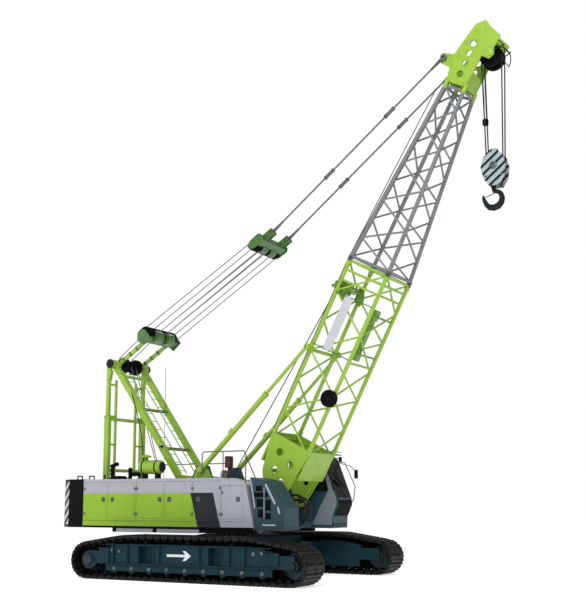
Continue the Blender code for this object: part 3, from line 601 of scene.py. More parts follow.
# %% Shoes, laid one after another
HALF_SHOE = SHOE_WIDTH / 2
for side, sign in SIDES:
    centre_y = sign * (BELT[0].y + BELT[1].y) / -2
    belt = Piece()
    for start, end in zip(BELT_STOPS, BELT_STOPS[1:] + BELT_STOPS[:1]):
        along = end - start
        slope = math.degrees(math.atan2(along.y, along.x))
        middle = (start + end) / 2
        belt.matrix = turned(at(middle.x, centre_y, middle.y), slope)
        half = along.length / 2
        belt.box((-half + 0.012, -HALF_SHOE, 0.018), (half - 0.012, HALF_SHOE, 0.062), 0.008)
        belt.box((-half + 0.03, -HALF_SHOE + 0.02, 0.001), (-half + 0.085, HALF_SHOE - 0.02, 0.03))
        belt.box((half - 0.075, -HALF_SHOE + 0.02, 0.001), (half - 0.03, HALF_SHOE - 0.02, 0.03))
        for lug in (-0.085, 0.085):
            belt.box((-half * 0.55, lug - 0.028, 0.06), (half * 0.55, lug + 0.028, 0.135), 0.012)
        for end_y in (-HALF_SHOE + 0.05, HALF_SHOE - 0.05):
            belt.box((-half * 0.7, end_y - 0.03, 0.06), (half * 0.7, end_y + 0.03, 0.085))
        belt.tube((-half, -0.30, 0.085), (-half, 0.30, 0.085), 0.018, 6)
    made = belt.finish(f"shoes_{side}", "undercarriage", shoe_steel)
    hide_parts(f"track_{side}")
print("shoes:", SHOES * 2)

# %% Rollers, and a black sheet inside the belt that is painted shade
INSIDE = 0.13


def inside_belt():
    """The belt's path drawn in towards the wheels, as an outline."""
    spots = []
    for spot in BELT_STOPS:
        near = Vector((max(-WHEEL.x, min(WHEEL.x, spot.x)), WHEEL.z))
        reach = (spot - near).length
        spots.append(near + (spot - near) * ((reach - INSIDE) / reach))
    return [(spot.x, spot.y) for spot in spots]


for side, sign in SIDES:
    centre_y = sign * (BELT[0].y + BELT[1].y) / -2
    guard = Piece(CENTRE)
    # Painted shade: a black sheet fills the inside of the belt, so that the gaps between shoes show dark.
    guard.sheet(inside_belt(), centre_y - 0.02, centre_y + 0.02)
    for i in range(11):
        x = -2.25 + 0.45 * i
        guard.turned(
            ((-0.15, 0.0), (-0.15, 0.09), (0.15, 0.09), (0.15, 0.0)), (x, centre_y, 0.235), (0, 1, 0), 16
        )
    guard.finish(f"rollers_and_shade_sheet_{side}", "undercarriage", black_paint)

# %% [markdown]
# ## Track frames, sprockets and idlers
# The frame is a welded box. What catches the eye on it are the two openings that show the far rollers, the
# round bosses, the travel arrow that tells the driver which way is forwards, and the motor housing in the
# sprocket.

# %% Frame trim
WINDOWS = ((-1.32, -0.89), (0.65, 1.01))
for side, sign in SIDES:
    low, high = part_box(f"track_frame_{side}")
    face = low.y if sign < 0 else high.y
    out = Vector((0, sign, 0))
    trim = Piece(CENTRE)
    for x0, x1 in WINDOWS:
        for low_x, high_x, low_z, high_z in (
            (x0 - 0.03, x1 + 0.03, 0.79, 0.815),
            (x0 - 0.03, x1 + 0.03, 0.375, 0.40),
            (x0 - 0.03, x0, 0.40, 0.79),
            (x1, x1 + 0.03, 0.40, 0.79),
        ):
            trim.box((low_x, face - 0.004 * sign, low_z), (high_x, face + sign * 0.018, high_z), 0.004)
    for x in (-2.05, -1.62, -0.70, 0.42, 1.22, 1.62):
        trim.box((x - 0.012, face, 0.40), (x + 0.012, face + sign * 0.05, 0.80), 0.004)
    trim.box((-2.30, face, 0.80), (2.30, face + sign * 0.03, 0.828), 0.006)
    trim.box((-2.30, face, 0.362), (2.30, face + sign * 0.045, 0.392), 0.006)
    for x in (2.16, 2.24, 2.32):
        trim.box((x - 0.012, face - sign * 0.05, 0.46), (x + 0.012, face + sign * 0.06, 0.76), 0.004)
    trim.box((2.10, face - sign * 0.04, 0.44), (2.48, face + sign * 0.045, 0.72), 0.012)
    trim.box((-2.48, face - sign * 0.04, 0.36), (-2.18, face + sign * 0.045, 0.74), 0.012)
    trim.finish(f"frame_trim_{side}", "undercarriage", teal_paint)
    bosses = Piece(CENTRE)
    for x, z, radius in ((-2.10, 0.69, 0.05), (-1.88, 0.66, 0.04), (1.83, 0.68, 0.05), (2.05, 0.70, 0.04)):
        bosses.turned(
            ((0.0, radius), (0.02, radius), (0.03, radius * 0.8), (0.03, 0.0)), (x, face, z), out, 18
        )
    for x in [-2.04 + 0.51 * i for i in range(9)]:
        bosses.turned(
            (
                (-0.02, 0.052), (0.015, 0.052), (0.024, 0.04), (0.024, 0.0)
            ), (x, face - sign * 0.015, 0.26), out, 14
        )
        bosses.bolt_ring((x, face + sign * 0.004, 0.26), out, 0.034, 4, 0.007, 0.5)
    bosses.finish(f"roller_caps_{side}", "undercarriage", dull_steel)
    arrow = Piece(CENTRE)
    shaft, head, level = 0.028, 0.11, 0.595
    outline = (
        (-0.50, level - shaft),
        (0.02, level - shaft),
        (-0.06, level - head),
        (0.02, level - head),
        (0.17, level),
        (0.02, level + head),
        (-0.06, level + head),
        (0.02, level + shaft),
        (-0.50, level + shaft),
    )
    arrow.sheet(outline, face, face + sign * 0.004)
    arrow.finish(f"travel_arrow_{side}", "undercarriage", white_paint)

# %% Motor housings and idler hubs
hub_paint = paint("hub_paint", (0.020, 0.034, 0.038), dirt=0.5, gloss=0.5, coat=0.0, specular=0.3)
for side, sign in SIDES:
    out = Vector((0, sign, 0))
    for node, body_radius in (("drive_sprocket", 0.23), ("idler", 0.13)):
        low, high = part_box(f"{node}_{side}")
        middle = (low + high) / 2
        face = low.y if sign < 0 else high.y
        hub = Piece()
        start = Vector((middle.x, face, middle.z))
        profile = (
            (-0.02, body_radius),
            (0.03, body_radius * 0.98),
            (0.05, body_radius * 0.9),
            (0.06, body_radius * 0.62),
            (0.11, body_radius * 0.58),
            (0.13, body_radius * 0.5),
            (0.13, 0.0),
        )
        hub.turned(profile, start, out, 36)
        hub.bolt_ring(start + out * 0.05, out, body_radius * 0.77, 12, 0.011)
        hub.finish(f"{node}_hub_{side}", "undercarriage", drum_steel if node == "idler" else hub_paint)

recoat(
    {
        "track_frame_right": teal_paint,
        "track_frame_left": teal_paint,
        "car_body": teal_paint,
        "drive_sprocket_right": drum_steel,
        "drive_sprocket_left": drum_steel,
        "idler_right": drum_steel,
        "idler_left": drum_steel,
        "slew_ring": dull_steel,
    }
)

# %% Slewing ring bolts and chassis ladders
ring = Piece()
ring_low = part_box("slew_ring")[0]
for turn in range(48):
    spin = math.tau * turn / 48
    spot = at(0.86 * math.cos(spin), 0.86 * math.sin(spin), ring_low.z)
    ring.bolt(spot, (0, 0, 1), 0.016)
ring.finish("ring_bolts", "undercarriage", bright_steel)
rungs = Piece()
body_low, body_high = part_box("car_body")
for x in (body_low.x + 0.02, body_high.x - 0.02):
    for z in (0.52, 0.72, 0.90):
        rungs.path(
            (
                (x, -0.25, z),
                (x + math.copysign(0.10, x - AXIS_X), -0.25, z),
                (x + math.copysign(0.10, x - AXIS_X), 0.25, z),
                (x, 0.25, z),
            ),
            0.012,
            6,
        )
rungs.finish("chassis_rungs", "undercarriage", teal_paint)
print("undercarriage done")

# %% [markdown]
# ## The machinery house
# The house is sheet steel on a frame: hinged leaves along the side, a band above them that turns into the
# roof, and one slanted stripe across it all. Leaves and walls share one material that reads where a point
# lies, so the stripe runs unbroken over every seam. Painting each door by itself would never line up so
# well.

# %% The house colours
STRIPE_SLANT = 0.27
STRIPE_REAR = AXIS_X - 0.38
STRIPE_FRONT = AXIS_X + 0.275
BAND_LOW = 2.03
ROOF_TOP = 2.381


def house_colours():
    """Lime at the rear, a slanted dark stripe, pale grey in front, and silver above."""
    finish = Finish("house_paint", coat=0.05, specular=0.2)
    x, y, z = finish.axes()
    along = x + (z - 1.6) * STRIPE_SLANT
    colour = finish.blend(along > STRIPE_REAR, LIME, CHARCOAL)
    colour = finish.blend(along > STRIPE_FRONT, colour, PALE)
    colour = finish.blend(z > BAND_LOW, colour, SILVER)
    return worn(finish, colour, dirt=0.3)


house_paint = house_colours()
house_nodes = [name for name in frame["nodes"] if name.startswith(("house_", "door_"))]
recoat({name: house_paint for name in house_nodes})
print("house solids:", len(house_nodes))

# %% Raised door skins, hinges and latches
latch_grey = paint("latch_grey_paint", (0.075, 0.085, 0.095), dirt=0.4)
for joint in JOINTS.values():
    name = joint["child"]
    if not name.startswith("door_"):
        continue
    low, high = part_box(name)
    sign = -1 if "right" in name else 1
    face = low.y if sign < 0 else high.y
    skin = Piece()
    skin.box(
        (low.x + 0.05, face - sign * 0.004, low.z + 0.05),
        (high.x - 0.05, face + sign * 0.008, high.z - 0.05), 0.006
    )
    skin.finish(f"{name}_skin", name, house_paint)
    hinge_x = joint["pos_m"][0]
    swing = 1 if hinge_x < (low.x + high.x) / 2 else -1
    latch_x = (high.x if swing > 0 else low.x) - swing * 0.14
    fittings = Piece()
    for z in (low.z + 0.16, high.z - 0.16):
        fittings.tube(
            (hinge_x, face + sign * 0.002, z - 0.05), (hinge_x, face + sign * 0.002, z + 0.05), 0.005, 8
        )
        ends = sorted((hinge_x + swing * 0.010, hinge_x + swing * 0.06))
        fittings.box((ends[0], face, z - 0.03), (ends[1], face + sign * 0.003, z + 0.03))
    fittings.box((latch_x - 0.055, face, 1.815), (latch_x + 0.055, face + sign * 0.014, 1.935), 0.010)
    fittings.bar(
        (latch_x - 0.03, face + sign * 0.02, 1.89), (latch_x + 0.035, face + sign * 0.02, 1.85), 0.012,
        0.03, 0.004
    )
    fittings.finish(f"{name}_fittings", name, latch_grey)

# %% Roof seams, gutters, louvres, the strip under the floor, and painted shade below the house
seams = Piece(CENTRE)
louvres = Piece(CENTRE)
under = Piece(CENTRE)
for side, sign in SIDES:
    low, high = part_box(f"house_{side}")
    face = low.y if sign < 0 else high.y
    inner = high.y if sign < 0 else low.y
    rear, front = low.x - AXIS_X, high.x - AXIS_X
    seams.box((rear + 0.01, face - sign * 0.01, 1.336), (front - 0.02, face + sign * 0.008, 1.348))
    for x in (-3.0, -2.1, -1.2, -0.38):
        if x < front:
            ends = sorted((face + sign * 0.004, inner))
            seams.box((x - 0.014, ends[0], 2.37), (x + 0.014, ends[1], 2.388), 0.004)
            seams.box((x - 0.010, face, 2.32), (x + 0.010, face + sign * 0.005, 2.386))
    vents = ((-3.70, -3.12), (-1.10, -0.32)) if sign > 0 else ()
    for x0, x1 in vents:
        louvres.box((x0 - 0.03, face, 1.50), (x1 + 0.03, face + sign * 0.006, 2.20), 0.003)
        for row in range(13):
            z = 1.54 + 0.05 * row
            louvres.bar((x0, face + sign * 0.012, z), (x1, face + sign * 0.012, z), 0.022, 0.020, 0.004)
    under.box((-2.85, sign * 1.40, 1.075), (-0.25, sign * 1.535, 1.172), 0.008)
seams.finish("roof_seams", "upper_works", house_paint)
louvres.finish("side_louvres", "upper_works", charcoal_paint)
under.finish("under_floor_boxes", "upper_works", pale_paint)
# Painted shade: the black box under the front of the floor and the thin black strip along the floor's edge stand
# for the shade under the house.
shade_under_house = Piece(CENTRE)
for sign in (-1, 1):
    shade_under_house.box((-0.24, sign * 1.36, 1.085), (1.26, sign * 1.53, 1.172), 0.01)
    for x in (-2.80, -1.55):
        shade_under_house.box((x - 0.06, sign * 1.38, 1.08), (x + 0.06, sign * 1.541, 1.174), 0.006)
    shade_under_house.box((-3.80, sign * 1.552, 1.178), (1.27, sign * 1.558, 1.222), 0.002)
shade_under_house.finish("floor_edges_shade", "upper_works", black_paint)
print("house trimmed")

# %% [markdown]
# ## The counterweight
# Two cast slabs hang behind the house. They are painted black, with warning stripes on the rear corners,
# because those swing furthest out over the people nearby. The stripes are a wrapped sum of height and
# width, held inside a mask for the two chamfers.

# %% Counterweight paint and fittings
CHAMFER_X = AXIS_X - 4.30
CHAMFER_Y = 1.31


def weight_colours():
    finish = Finish("counterweight_paint", specular=0.06)
    x, y, z = finish.axes()
    bars = (z - y.size() * 0.9).wrapped(0.25) > 0.12
    corner = (x < CHAMFER_X) * (y.size() > CHAMFER_Y) * (z > 1.25) * (z < 2.33)
    return worn(finish, finish.blend(bars * corner, BLACK, (0.50, 0.52, 0.53)), dirt=0.25)


weight_paint = weight_colours()
recoat({"counterweight_lower": weight_paint, "counterweight_upper": weight_paint})
weight_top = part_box("counterweight_upper")[1].z
lugs = Piece(CENTRE)
for sign in (-1, 1):
    for x in (-4.42, -4.02):
        lugs.path(
            ((x, sign * 0.92, weight_top - 0.03), (x, sign * 0.92, weight_top + 0.09),
             (x, sign * 1.10, weight_top + 0.09), (x, sign * 1.10, weight_top - 0.03)), 0.016, 8)
    for z in (1.46, 2.10):
        lugs.turned(boss(0.07, 0.055, 0.02, 0.03), (-4.655, sign * 0.75, z), (-1, 0, 0), 18)
        lugs.bolt((-4.68, sign * 0.75, z), (-1, 0, 0), 0.022)
lugs.box((-4.672, -1.1, 1.765), (-4.655, 1.1, 1.795), 0.004)
lugs.finish("counterweight_lugs", "upper_works", black_paint)
print("counterweight stripes on")

# %% [markdown]
# ## Winches, air cleaner and roof fittings
# Between the two house halves sit the winch drums, wound with rope. A real coil is a helix, but at this
# scale a turned profile with one groove a turn looks the same and stays a closed, light shape.


# %% Rope wound on the drums
WINCHES = {"hoist_winch": (-0.62, 1.62), "luffing_winch": (-2.30, 1.60)}
COIL_PITCH = 0.036


def wound(name, node, half, radius):
    low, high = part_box(node)
    middle = Vector(((low.x + high.x) / 2, -half, WINCHES[node][1]))
    turns = int(half * 2 / COIL_PITCH)
    step = half * 2 / turns
    profile = [(0.0, radius * 0.8), (0.0, radius)]
    for turn in range(turns):
        profile.append(((turn + 0.5) * step, radius + 0.014))
        profile.append(((turn + 1) * step, radius))
    profile.append((half * 2, radius * 0.8))
    coil = Piece()
    coil.turned(profile, middle, (0, 1, 0), 24)
    return coil.finish(name, "upper_works", wire_rope, 20)


wound("hoist_rope_coil", "hoist_winch", 0.42, 0.212)
wound("luffing_rope_coil", "luffing_winch", 0.40, 0.202)
motors = Piece(CENTRE)
for x, z in WINCHES.values():
    for sign in (-1, 1):
        rim = ((0, 0.15), (0.03, 0.15), (0.04, 0.12), (0.06, 0.11), (0.06, 0))
        motors.turned(rim, (x, sign * 0.60, z), (0, sign, 0), 20)
        motors.bolt_ring((x, sign * 0.63, z), (0, sign, 0), 0.13, 6, 0.011)
motors.finish("winch_motors", "upper_works", slate_paint)
recoat(
    {
        "hoist_winch": drum_steel, "luffing_winch": drum_steel, "engine_block": slate_paint,
        "upper_frame": slate_paint
    }
)

# %% Air cleaner, exhaust, aerial and rails
CLEANER_Y, CLEANER_Z = -1.10, 2.68
cleaner = Piece(CENTRE)
profile = (
    (0.0, 0.0), (0.0, 0.10), (0.02, 0.15), (0.06, 0.172), (0.20, 0.174), (0.205, 0.168), (0.22, 0.168),
    (0.225, 0.174), (0.46, 0.174), (0.465, 0.168), (0.48, 0.168), (0.485, 0.174), (0.62, 0.172),
    (0.66, 0.15), (0.68, 0.10), (0.68, 0.0),
)
cleaner.turned(profile, (-2.35, CLEANER_Y, CLEANER_Z), (1, 0, 0), 32)
cleaner.turned(((0.0, 0.055), (0.12, 0.055)), (-2.19, CLEANER_Y, 2.82), (0, 0, 1), 16)
cap = ((0.0, 0.13), (0.01, 0.14), (0.03, 0.138), (0.055, 0.10), (0.07, 0.05), (0.074, 0.0))
cleaner.turned(((0.0, 0.0),) + cap, (-2.19, CLEANER_Y, 2.925), (0, 0, 1), 28)
cleaner.tube((-2.19, CLEANER_Y, 2.72), (-2.19, CLEANER_Y, 2.93), 0.055, 16)
body = cleaner.finish("air_cleaner_body", "upper_works", lime_paint)
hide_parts("air_cleaner")
bands = Piece(CENTRE)
for x in (-2.21, -1.81):
    bands.turned(((-0.02, 0.1765), (0.02, 0.1765)), (x, CLEANER_Y, CLEANER_Z), (1, 0, 0), 32)
    bands.box((x - 0.03, -1.20, ROOF_TOP), (x + 0.03, -1.00, 2.60), 0.01)
bands.turned(
    ((0.0, 0.0), (0.0, 0.13), (0.015, 0.12), (0.015, 0)), (-1.675, CLEANER_Y, CLEANER_Z), (1, 0, 0), 28
)
bands.finish("air_cleaner_straps", "upper_works", charcoal_paint)
fittings = Piece(CENTRE)
fittings.turned(((0, 0.075), (0.03, 0.085), (0.06, 0.06), (0.06, 0.0)), (-3.22, -1.15, 2.38), (0, 0, 1), 18)
fittings.box((-3.12, -1.30, ROOF_TOP), (-2.86, -1.02, 2.47), 0.015)
fittings.tube((-2.62, -1.18, ROOF_TOP), (-2.62, -1.18, 2.62), 0.05, 14)
fittings.ball((-2.62, -1.18, 2.62), 0.06, 12, 8)
fittings.box((-2.60, -1.15, 2.46), (-2.36, -1.05, 2.56), 0.02)
fittings.tube((-2.74, 0.40, 2.30), (-2.74, 0.40, 5.44), 0.006, 6)
fittings.ball((-2.74, 0.40, 2.32), 0.03, 8, 6)
fittings.finish("roof_fittings", "upper_works", black_paint)
rail = Piece(CENTRE)
rail.path(
    (
        (-0.20, -1.50, 2.37), (-0.20, -1.50, 2.95), (-0.15, -1.50, 3.00), (0.98, -1.50, 3.00),
        (1.31, -1.50, 2.34)
    ),
    0.014, 8
)
rail.tube((1.03, -1.50, 2.24), (1.03, -1.50, 2.92), 0.014, 8)
rail.tube((0.40, -1.50, 2.37), (0.40, -1.50, 3.00), 0.012, 8)
rail.path(((-3.70, 1.50, 2.37), (-3.70, 1.50, 2.85), (-1.40, 1.50, 2.85), (-1.40, 1.50, 2.37)), 0.014, 8)
rail.finish("roof_rails", "upper_works", dull_steel)
lamp_box = Piece(CENTRE)
lamp_box.box((0.29, -1.28, 2.62), (0.45, -1.12, 2.90), 0.02)
lamp_box.tube((0.37, -1.20, 2.37), (0.37, -1.20, 2.63), 0.03, 10)
lamp_box.finish("signal_box", "upper_works", paint("signal_red", (0.055, 0.006, 0.010), dirt=0.2))
lamps = Piece(CENTRE)
lamps.turned(
    ((0.0, 0.0), (0.0, 0.05), (0.03, 0.09), (0.10, 0.10), (0.105, 0.085), (0.07, 0.0)), (0.16, -1.20, 2.49),
    (1, 0, -0.2), 20
)
lamps.tube((0.22, -1.20, 2.37), (0.22, -1.20, 2.46), 0.02, 8)
lamps.finish("work_lamp", "upper_works", bright_steel)
print("roof fitted out")

# %% [markdown]
# ## Step box and cab
# The driver climbs past the step box on one side and sits in the cab on the other. The cab's shell is
# already hollow with its panes in place, so what it needs is colour by height, pale pillars, a roof visor,
# handrails, mirrors, a padded seat and levers.

# %% The step box
CAB_TEAL = (0.022, 0.062, 0.080)
cab_teal = paint("cab_side_paint", CAB_TEAL, dirt=0.35, gloss=0.45, coat=0.0, specular=0.25)
recoat({"step_box": cab_teal})
# Painted shade: black panels, a little proud of the face, stand for the dark insides of the recessed steps.
steps = Piece(CENTRE)
box_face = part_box("step_box")[0].y
for x0, x1, z0, z1 in (
    (1.34, 1.50, 2.06, 2.18), (1.30, 1.66, 1.92, 2.03), (1.36, 1.54, 1.70, 1.88), (1.60, 1.74, 1.62, 1.86),
    (1.40, 1.54, 1.46, 1.64), (1.60, 1.74, 1.42, 1.56)
):
    steps.box((x0, box_face - 0.004, z0), (x1, box_face + 0.01, z1), 0.002)
steps.finish("step_recess_shade", "upper_works", black_paint)
edges = Piece(CENTRE)
# The first pale bar, on the box's slanted rear edge, is a painted highlight; the other bars are pale trim.
edges.bar((1.20, box_face - 0.006, 2.33), (1.32, box_face - 0.006, 1.66), 0.02, 0.035, 0.004)
edges.bar((1.60, box_face - 0.006, 2.22), (1.86, box_face - 0.006, 1.76), 0.02, 0.05, 0.004)
edges.bar((1.57, box_face - 0.012, 2.14), (1.57, box_face - 0.012, 1.46), 0.02, 0.014)
edges.bar((1.93, box_face - 0.006, 1.70), (1.97, box_face - 0.006, 1.54), 0.02, 0.05, 0.004)
edges.finish("step_edges_and_highlight", "upper_works", pale_paint)
mark = Piece(CENTRE)
mark.box((1.52, box_face - 0.004, 1.278), (1.86, box_face + 0.004, 1.302))
mark.finish("step_light_bar", "upper_works", white_paint)


# %% Cab paint
def cab_colours():
    """Teal below the sill, dark pillars above it, a pale roof and a black foot."""
    finish = Finish("cab_paint", specular=0.25)
    x, y, z = finish.axes()
    colour = finish.blend(z > 2.09, CAB_TEAL, CHARCOAL)
    colour = finish.blend(z < 1.30, colour, BLACK)
    return worn(finish, colour, dirt=0.25)


cab_paint = cab_colours()
recoat({"cab_shell": cab_paint, "cab_door": cab_paint, "cab_console": black_paint})
recoat({"cab_windscreen": cab_glass, "cab_window_right": cab_glass, "cab_door_glass": cab_glass})
cab_low, cab_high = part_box("cab_shell")
CAB_Y = (cab_low.y + cab_high.y) / 2

# %% Pillars, panels and visor
pillars = Piece(CENTRE)
face = cab_low.y
pillars.sheet(
    ((1.80, 2.88), (1.86, 2.88), (2.03, 2.45), (2.14, 2.11), (2.02, 2.11), (1.94, 2.45)), face - 0.007,
    face + 0.004, 0.003
)
pillars.sheet(
    (
        (2.02, 2.11), (2.16, 2.11), (2.245, 1.88), (2.25, 1.76), (2.13, 1.47), (2.12, 1.24), (1.56, 1.24),
        (1.80, 1.72), (1.92, 1.92)
    ),
    face - 0.007, face + 0.004, 0.003,
)
pillars.sheet(
    ((0.93, 2.86), (1.06, 2.955), (1.76, 2.955), (1.80, 2.92), (1.06, 2.91), (0.97, 2.84)), face - 0.005,
    face + 0.004
)
pillars.finish("cab_pillars", "upper_works", paint("cab_pale_paint", (0.20, 0.225, 0.255), dirt=0.45))
panels = Piece(CENTRE)
panels.bar((2.288, CAB_Y, 1.86), (2.292, CAB_Y, 1.74), 0.72, 0.012, 0.004)
panels.bar((2.29, CAB_Y, 1.735), (2.175, CAB_Y, 1.475), 0.72, 0.014, 0.004)
panels.bar((1.13, cab_low.y - 0.005, 2.085), (2.00, cab_low.y - 0.005, 2.085), 0.014, 0.02, 0.003)
for x0, z0, x1, z1 in ((1.13, 2.08, 1.13, 2.83), (1.13, 2.82, 1.76, 2.82), (1.75, 2.83, 2.00, 2.08)):
    panels.bar((x0, cab_low.y - 0.004, z0), (x1, cab_low.y - 0.004, z1), 0.012, 0.022, 0.003)
panels.sheet(
    ((1.02, 3.02), (1.92, 3.02), (2.00, 3.00), (2.00, 2.985), (1.90, 2.99), (1.02, 2.99)), cab_low.y - 0.01,
    cab_high.y + 0.01, 0.004
)
panels.sheet(
    ((1.54, 3.10), (1.80, 3.098), (2.02, 3.07), (2.02, 3.055), (1.80, 3.08), (1.54, 3.085)),
    cab_low.y + 0.02, cab_high.y - 0.02, 0.004
)
for y in (cab_low.y + 0.08, cab_high.y - 0.08):
    for x in (1.62, 1.86):
        panels.box((x - 0.02, y - 0.02, 3.01), (x + 0.02, y + 0.02, 3.09), 0.004)
panels.finish("cab_black_trim", "upper_works", black_paint)
line = Piece(CENTRE)
line.bar((2.288, CAB_Y - 0.37, 1.895), (2.288, CAB_Y + 0.37, 1.895), 0.012, 0.022, 0.003)
line.finish("cab_front_line", "upper_works", dull_steel)
pane = Piece(CENTRE)
pane.bar((2.272, CAB_Y, 1.93), (1.912, CAB_Y, 2.85), 0.70, 0.006)
pane.finish("windscreen_gloss", "upper_works", cab_glass)

# %% Handrails, mirrors, wiper and levers
rails = Piece(CENTRE)
rails.path(
    (
        (1.93, cab_high.y - 0.06, 2.83), (2.10, cab_high.y - 0.02, 2.80), (2.39, cab_high.y - 0.02, 2.20),
        (2.36, cab_high.y - 0.06, 1.86), (2.24, cab_high.y - 0.06, 1.72)
    ),
    0.011, 8
)
rails.path(
    ((1.93, cab_high.y - 0.04, 2.80), (2.22, cab_high.y + 0.06, 2.72), (2.38, cab_high.y + 0.08, 2.56)),
    0.009, 6
)
rails.path(
    (
        (1.08, cab_low.y - 0.05, 2.98), (1.08, cab_low.y - 0.05, 3.05), (1.50, cab_low.y - 0.05, 3.05),
        (1.50, cab_low.y - 0.05, 2.98)
    ),
    0.009, 6
)
rails.path(
    (
        (0.92, cab_high.y + 0.04, 1.40), (0.92, cab_high.y + 0.06, 1.45), (0.92, cab_high.y + 0.06, 2.45),
        (0.92, cab_high.y, 2.50)
    ),
    0.012, 8
)
rails.tube((2.05, CAB_Y - 0.18, 2.53), (2.20, CAB_Y + 0.20, 2.16), 0.008, 6)
rails.box((2.36, cab_high.y - 0.02, 2.40), (2.40, cab_high.y + 0.14, 2.62), 0.012)
rails.box((2.30, cab_low.y + 0.02, 2.80), (2.34, cab_low.y + 0.14, 2.92), 0.010)
rails.tube((1.90, cab_low.y + 0.06, 2.90), (2.31, cab_low.y + 0.08, 2.88), 0.009, 6)
rails.finish("cab_rails_and_mirrors", "upper_works", black_paint)
levers = Piece(CENTRE)
for y in (-0.12, -0.04, 0.04, 0.12):
    levers.tube((1.93, CAB_Y + y, 1.80), (1.86, CAB_Y + y, 2.02), 0.009, 6)
    levers.ball((1.86, CAB_Y + y, 2.03), 0.022, 10, 8)
for y in (-0.22, 0.22):
    levers.box((1.86, CAB_Y + y - 0.07, 1.36), (1.98, CAB_Y + y + 0.07, 1.40), 0.008)
levers.finish("cab_levers", "upper_works", rubber)

# %% Hoses at the boom foot
hoses = Piece(CENTRE)
for start_y, end_y, drop in ((-0.30, -0.58, 1.72), (-0.18, -0.50, 1.60), (-0.05, -0.42, 1.66)):
    points = []
    for step in range(13):
        share = step / 12
        x = 1.62 + 0.42 * math.sin(math.pi * share * 0.9)
        z = drop + 0.26 - 0.60 * share + 0.10 * math.sin(math.tau * share)
        points.append((x, start_y + (end_y - start_y) * share, max(z, 1.245)))
    hoses.path(points, 0.024, 8)
hoses.finish("boom_foot_hoses", "upper_works", rubber)
print("cab trimmed")

# %% [markdown]
# ### The driver's seat
# A seat is foam under cloth. Each cushion starts as a block that is cut finely, puffed out by moving each
# point with its distance from the edge, and smoothed. Cloth simulation could do it too, but a crowned block
# is enough for a seat seen through dark glass.


# %% Seat cushions
def cushion(name, place, size, crown):
    """A crowned pad: full in the middle, pulled in at its edges."""
    pad = Piece()
    made = bmesh.ops.create_cube(pad.mesh, size=1.0)
    bmesh.ops.subdivide_edges(pad.mesh, edges=pad.mesh.edges[:], cuts=11, use_grid_fill=True)
    for vert in pad.mesh.verts:
        u, v, w = (abs(vert.co.x) * 2, abs(vert.co.y) * 2, abs(vert.co.z) * 2)
        round_off = 1 - 0.10 * (u ** 4 + v ** 4) * (w > 0.9)
        swell = 1 + crown * (1 - u * u) * (1 - v * v) * (w > 0.9)
        seam = 0.985 if abs(v - 0.5) < 0.06 and w > 0.9 else 1.0
        vert.co.z *= round_off * swell * seam
        vert.co.x *= 1 - 0.03 * (v ** 4 + w ** 4)
        vert.co.y *= 1 - 0.03 * (u ** 4 + w ** 4)
    bmesh.ops.smooth_vert(
        pad.mesh, verts=pad.mesh.verts[:], factor=0.4, use_axis_x=True, use_axis_y=True, use_axis_z=True
    )
    bmesh.ops.transform(pad.mesh, matrix=place @ Matrix.Diagonal((*size, 1.0)), verts=pad.mesh.verts[:])
    return pad.finish(name, "upper_works", seat_cloth, 60)


def woven(name, colour):
    finish = Finish(name)
    x, y, z = finish.axes()
    warp = (x * 420.0).wrapped(1.0) > 0.5
    weft = (y * 420.0 + z * 420.0).wrapped(1.0) > 0.5
    weave = (warp - weft).size()
    finish.give(base_color=finish.blend(weave, colour, mixed(colour, 0.4)), roughness=weave * 0.1 + 0.8)
    finish.bumps(weave, 0.2, 0.001)
    return finish.material


seat_cloth = woven("seat_cloth", (0.045, 0.045, 0.050))
seat_pad = cushion("seat_cushion", Matrix.Translation(at(1.42, CAB_Y, 1.70)), (0.46, 0.47, 0.13), 0.35)
lean = Matrix.Translation(at(1.17, CAB_Y, 2.04)) @ Matrix.Rotation(math.radians(78), 4, "Y")
back_pad = cushion("seat_back", lean, (0.62, 0.45, 0.11), 0.35)
pedestal = Piece(CENTRE)
pedestal.box((1.28, CAB_Y - 0.12, 1.29), (1.52, CAB_Y + 0.12, 1.62), 0.02)
for y in (-0.27, 0.27):
    pedestal.bar((1.22, CAB_Y + y, 1.90), (1.56, CAB_Y + y, 1.92), 0.05, 0.045, 0.012)
pedestal = pedestal.finish("seat_pedestal", "upper_works", black_paint)
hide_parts("cab_seat")
print("seat in place")

# %% [markdown]
# ## Gantry
# The gantry is an A frame that holds the luffing ropes high behind the boom. Two slanted legs carry ladders
# on their inner side, and the rear posts carry the pull down to the frame.

# %% Gantry finishes and ladders
recoat(
    {
        "gantry_front": lime_paint, "gantry_rear": lime_paint, "exhaust_pipe": black_paint,
        "gantry_head_shaft": black_paint
    }
)
HEAD_X, HEAD_Z = (JOINTS["bail_swing"]["pos_m"][i] for i in (0, 2))
HEAD_X -= AXIS_X
FOOT_X, FOOT_Z = -1.35, 2.20
leg_line = Vector((HEAD_X - FOOT_X, 0, HEAD_Z - FOOT_Z))
leg_across = Vector((leg_line.z, 0, -leg_line.x)).normalized()


def on_leg(share, y, off=0.0):
    """A point on the front leg's line, moved off it towards the boom."""
    return Vector((FOOT_X, y, FOOT_Z)) + leg_line * share + leg_across * off


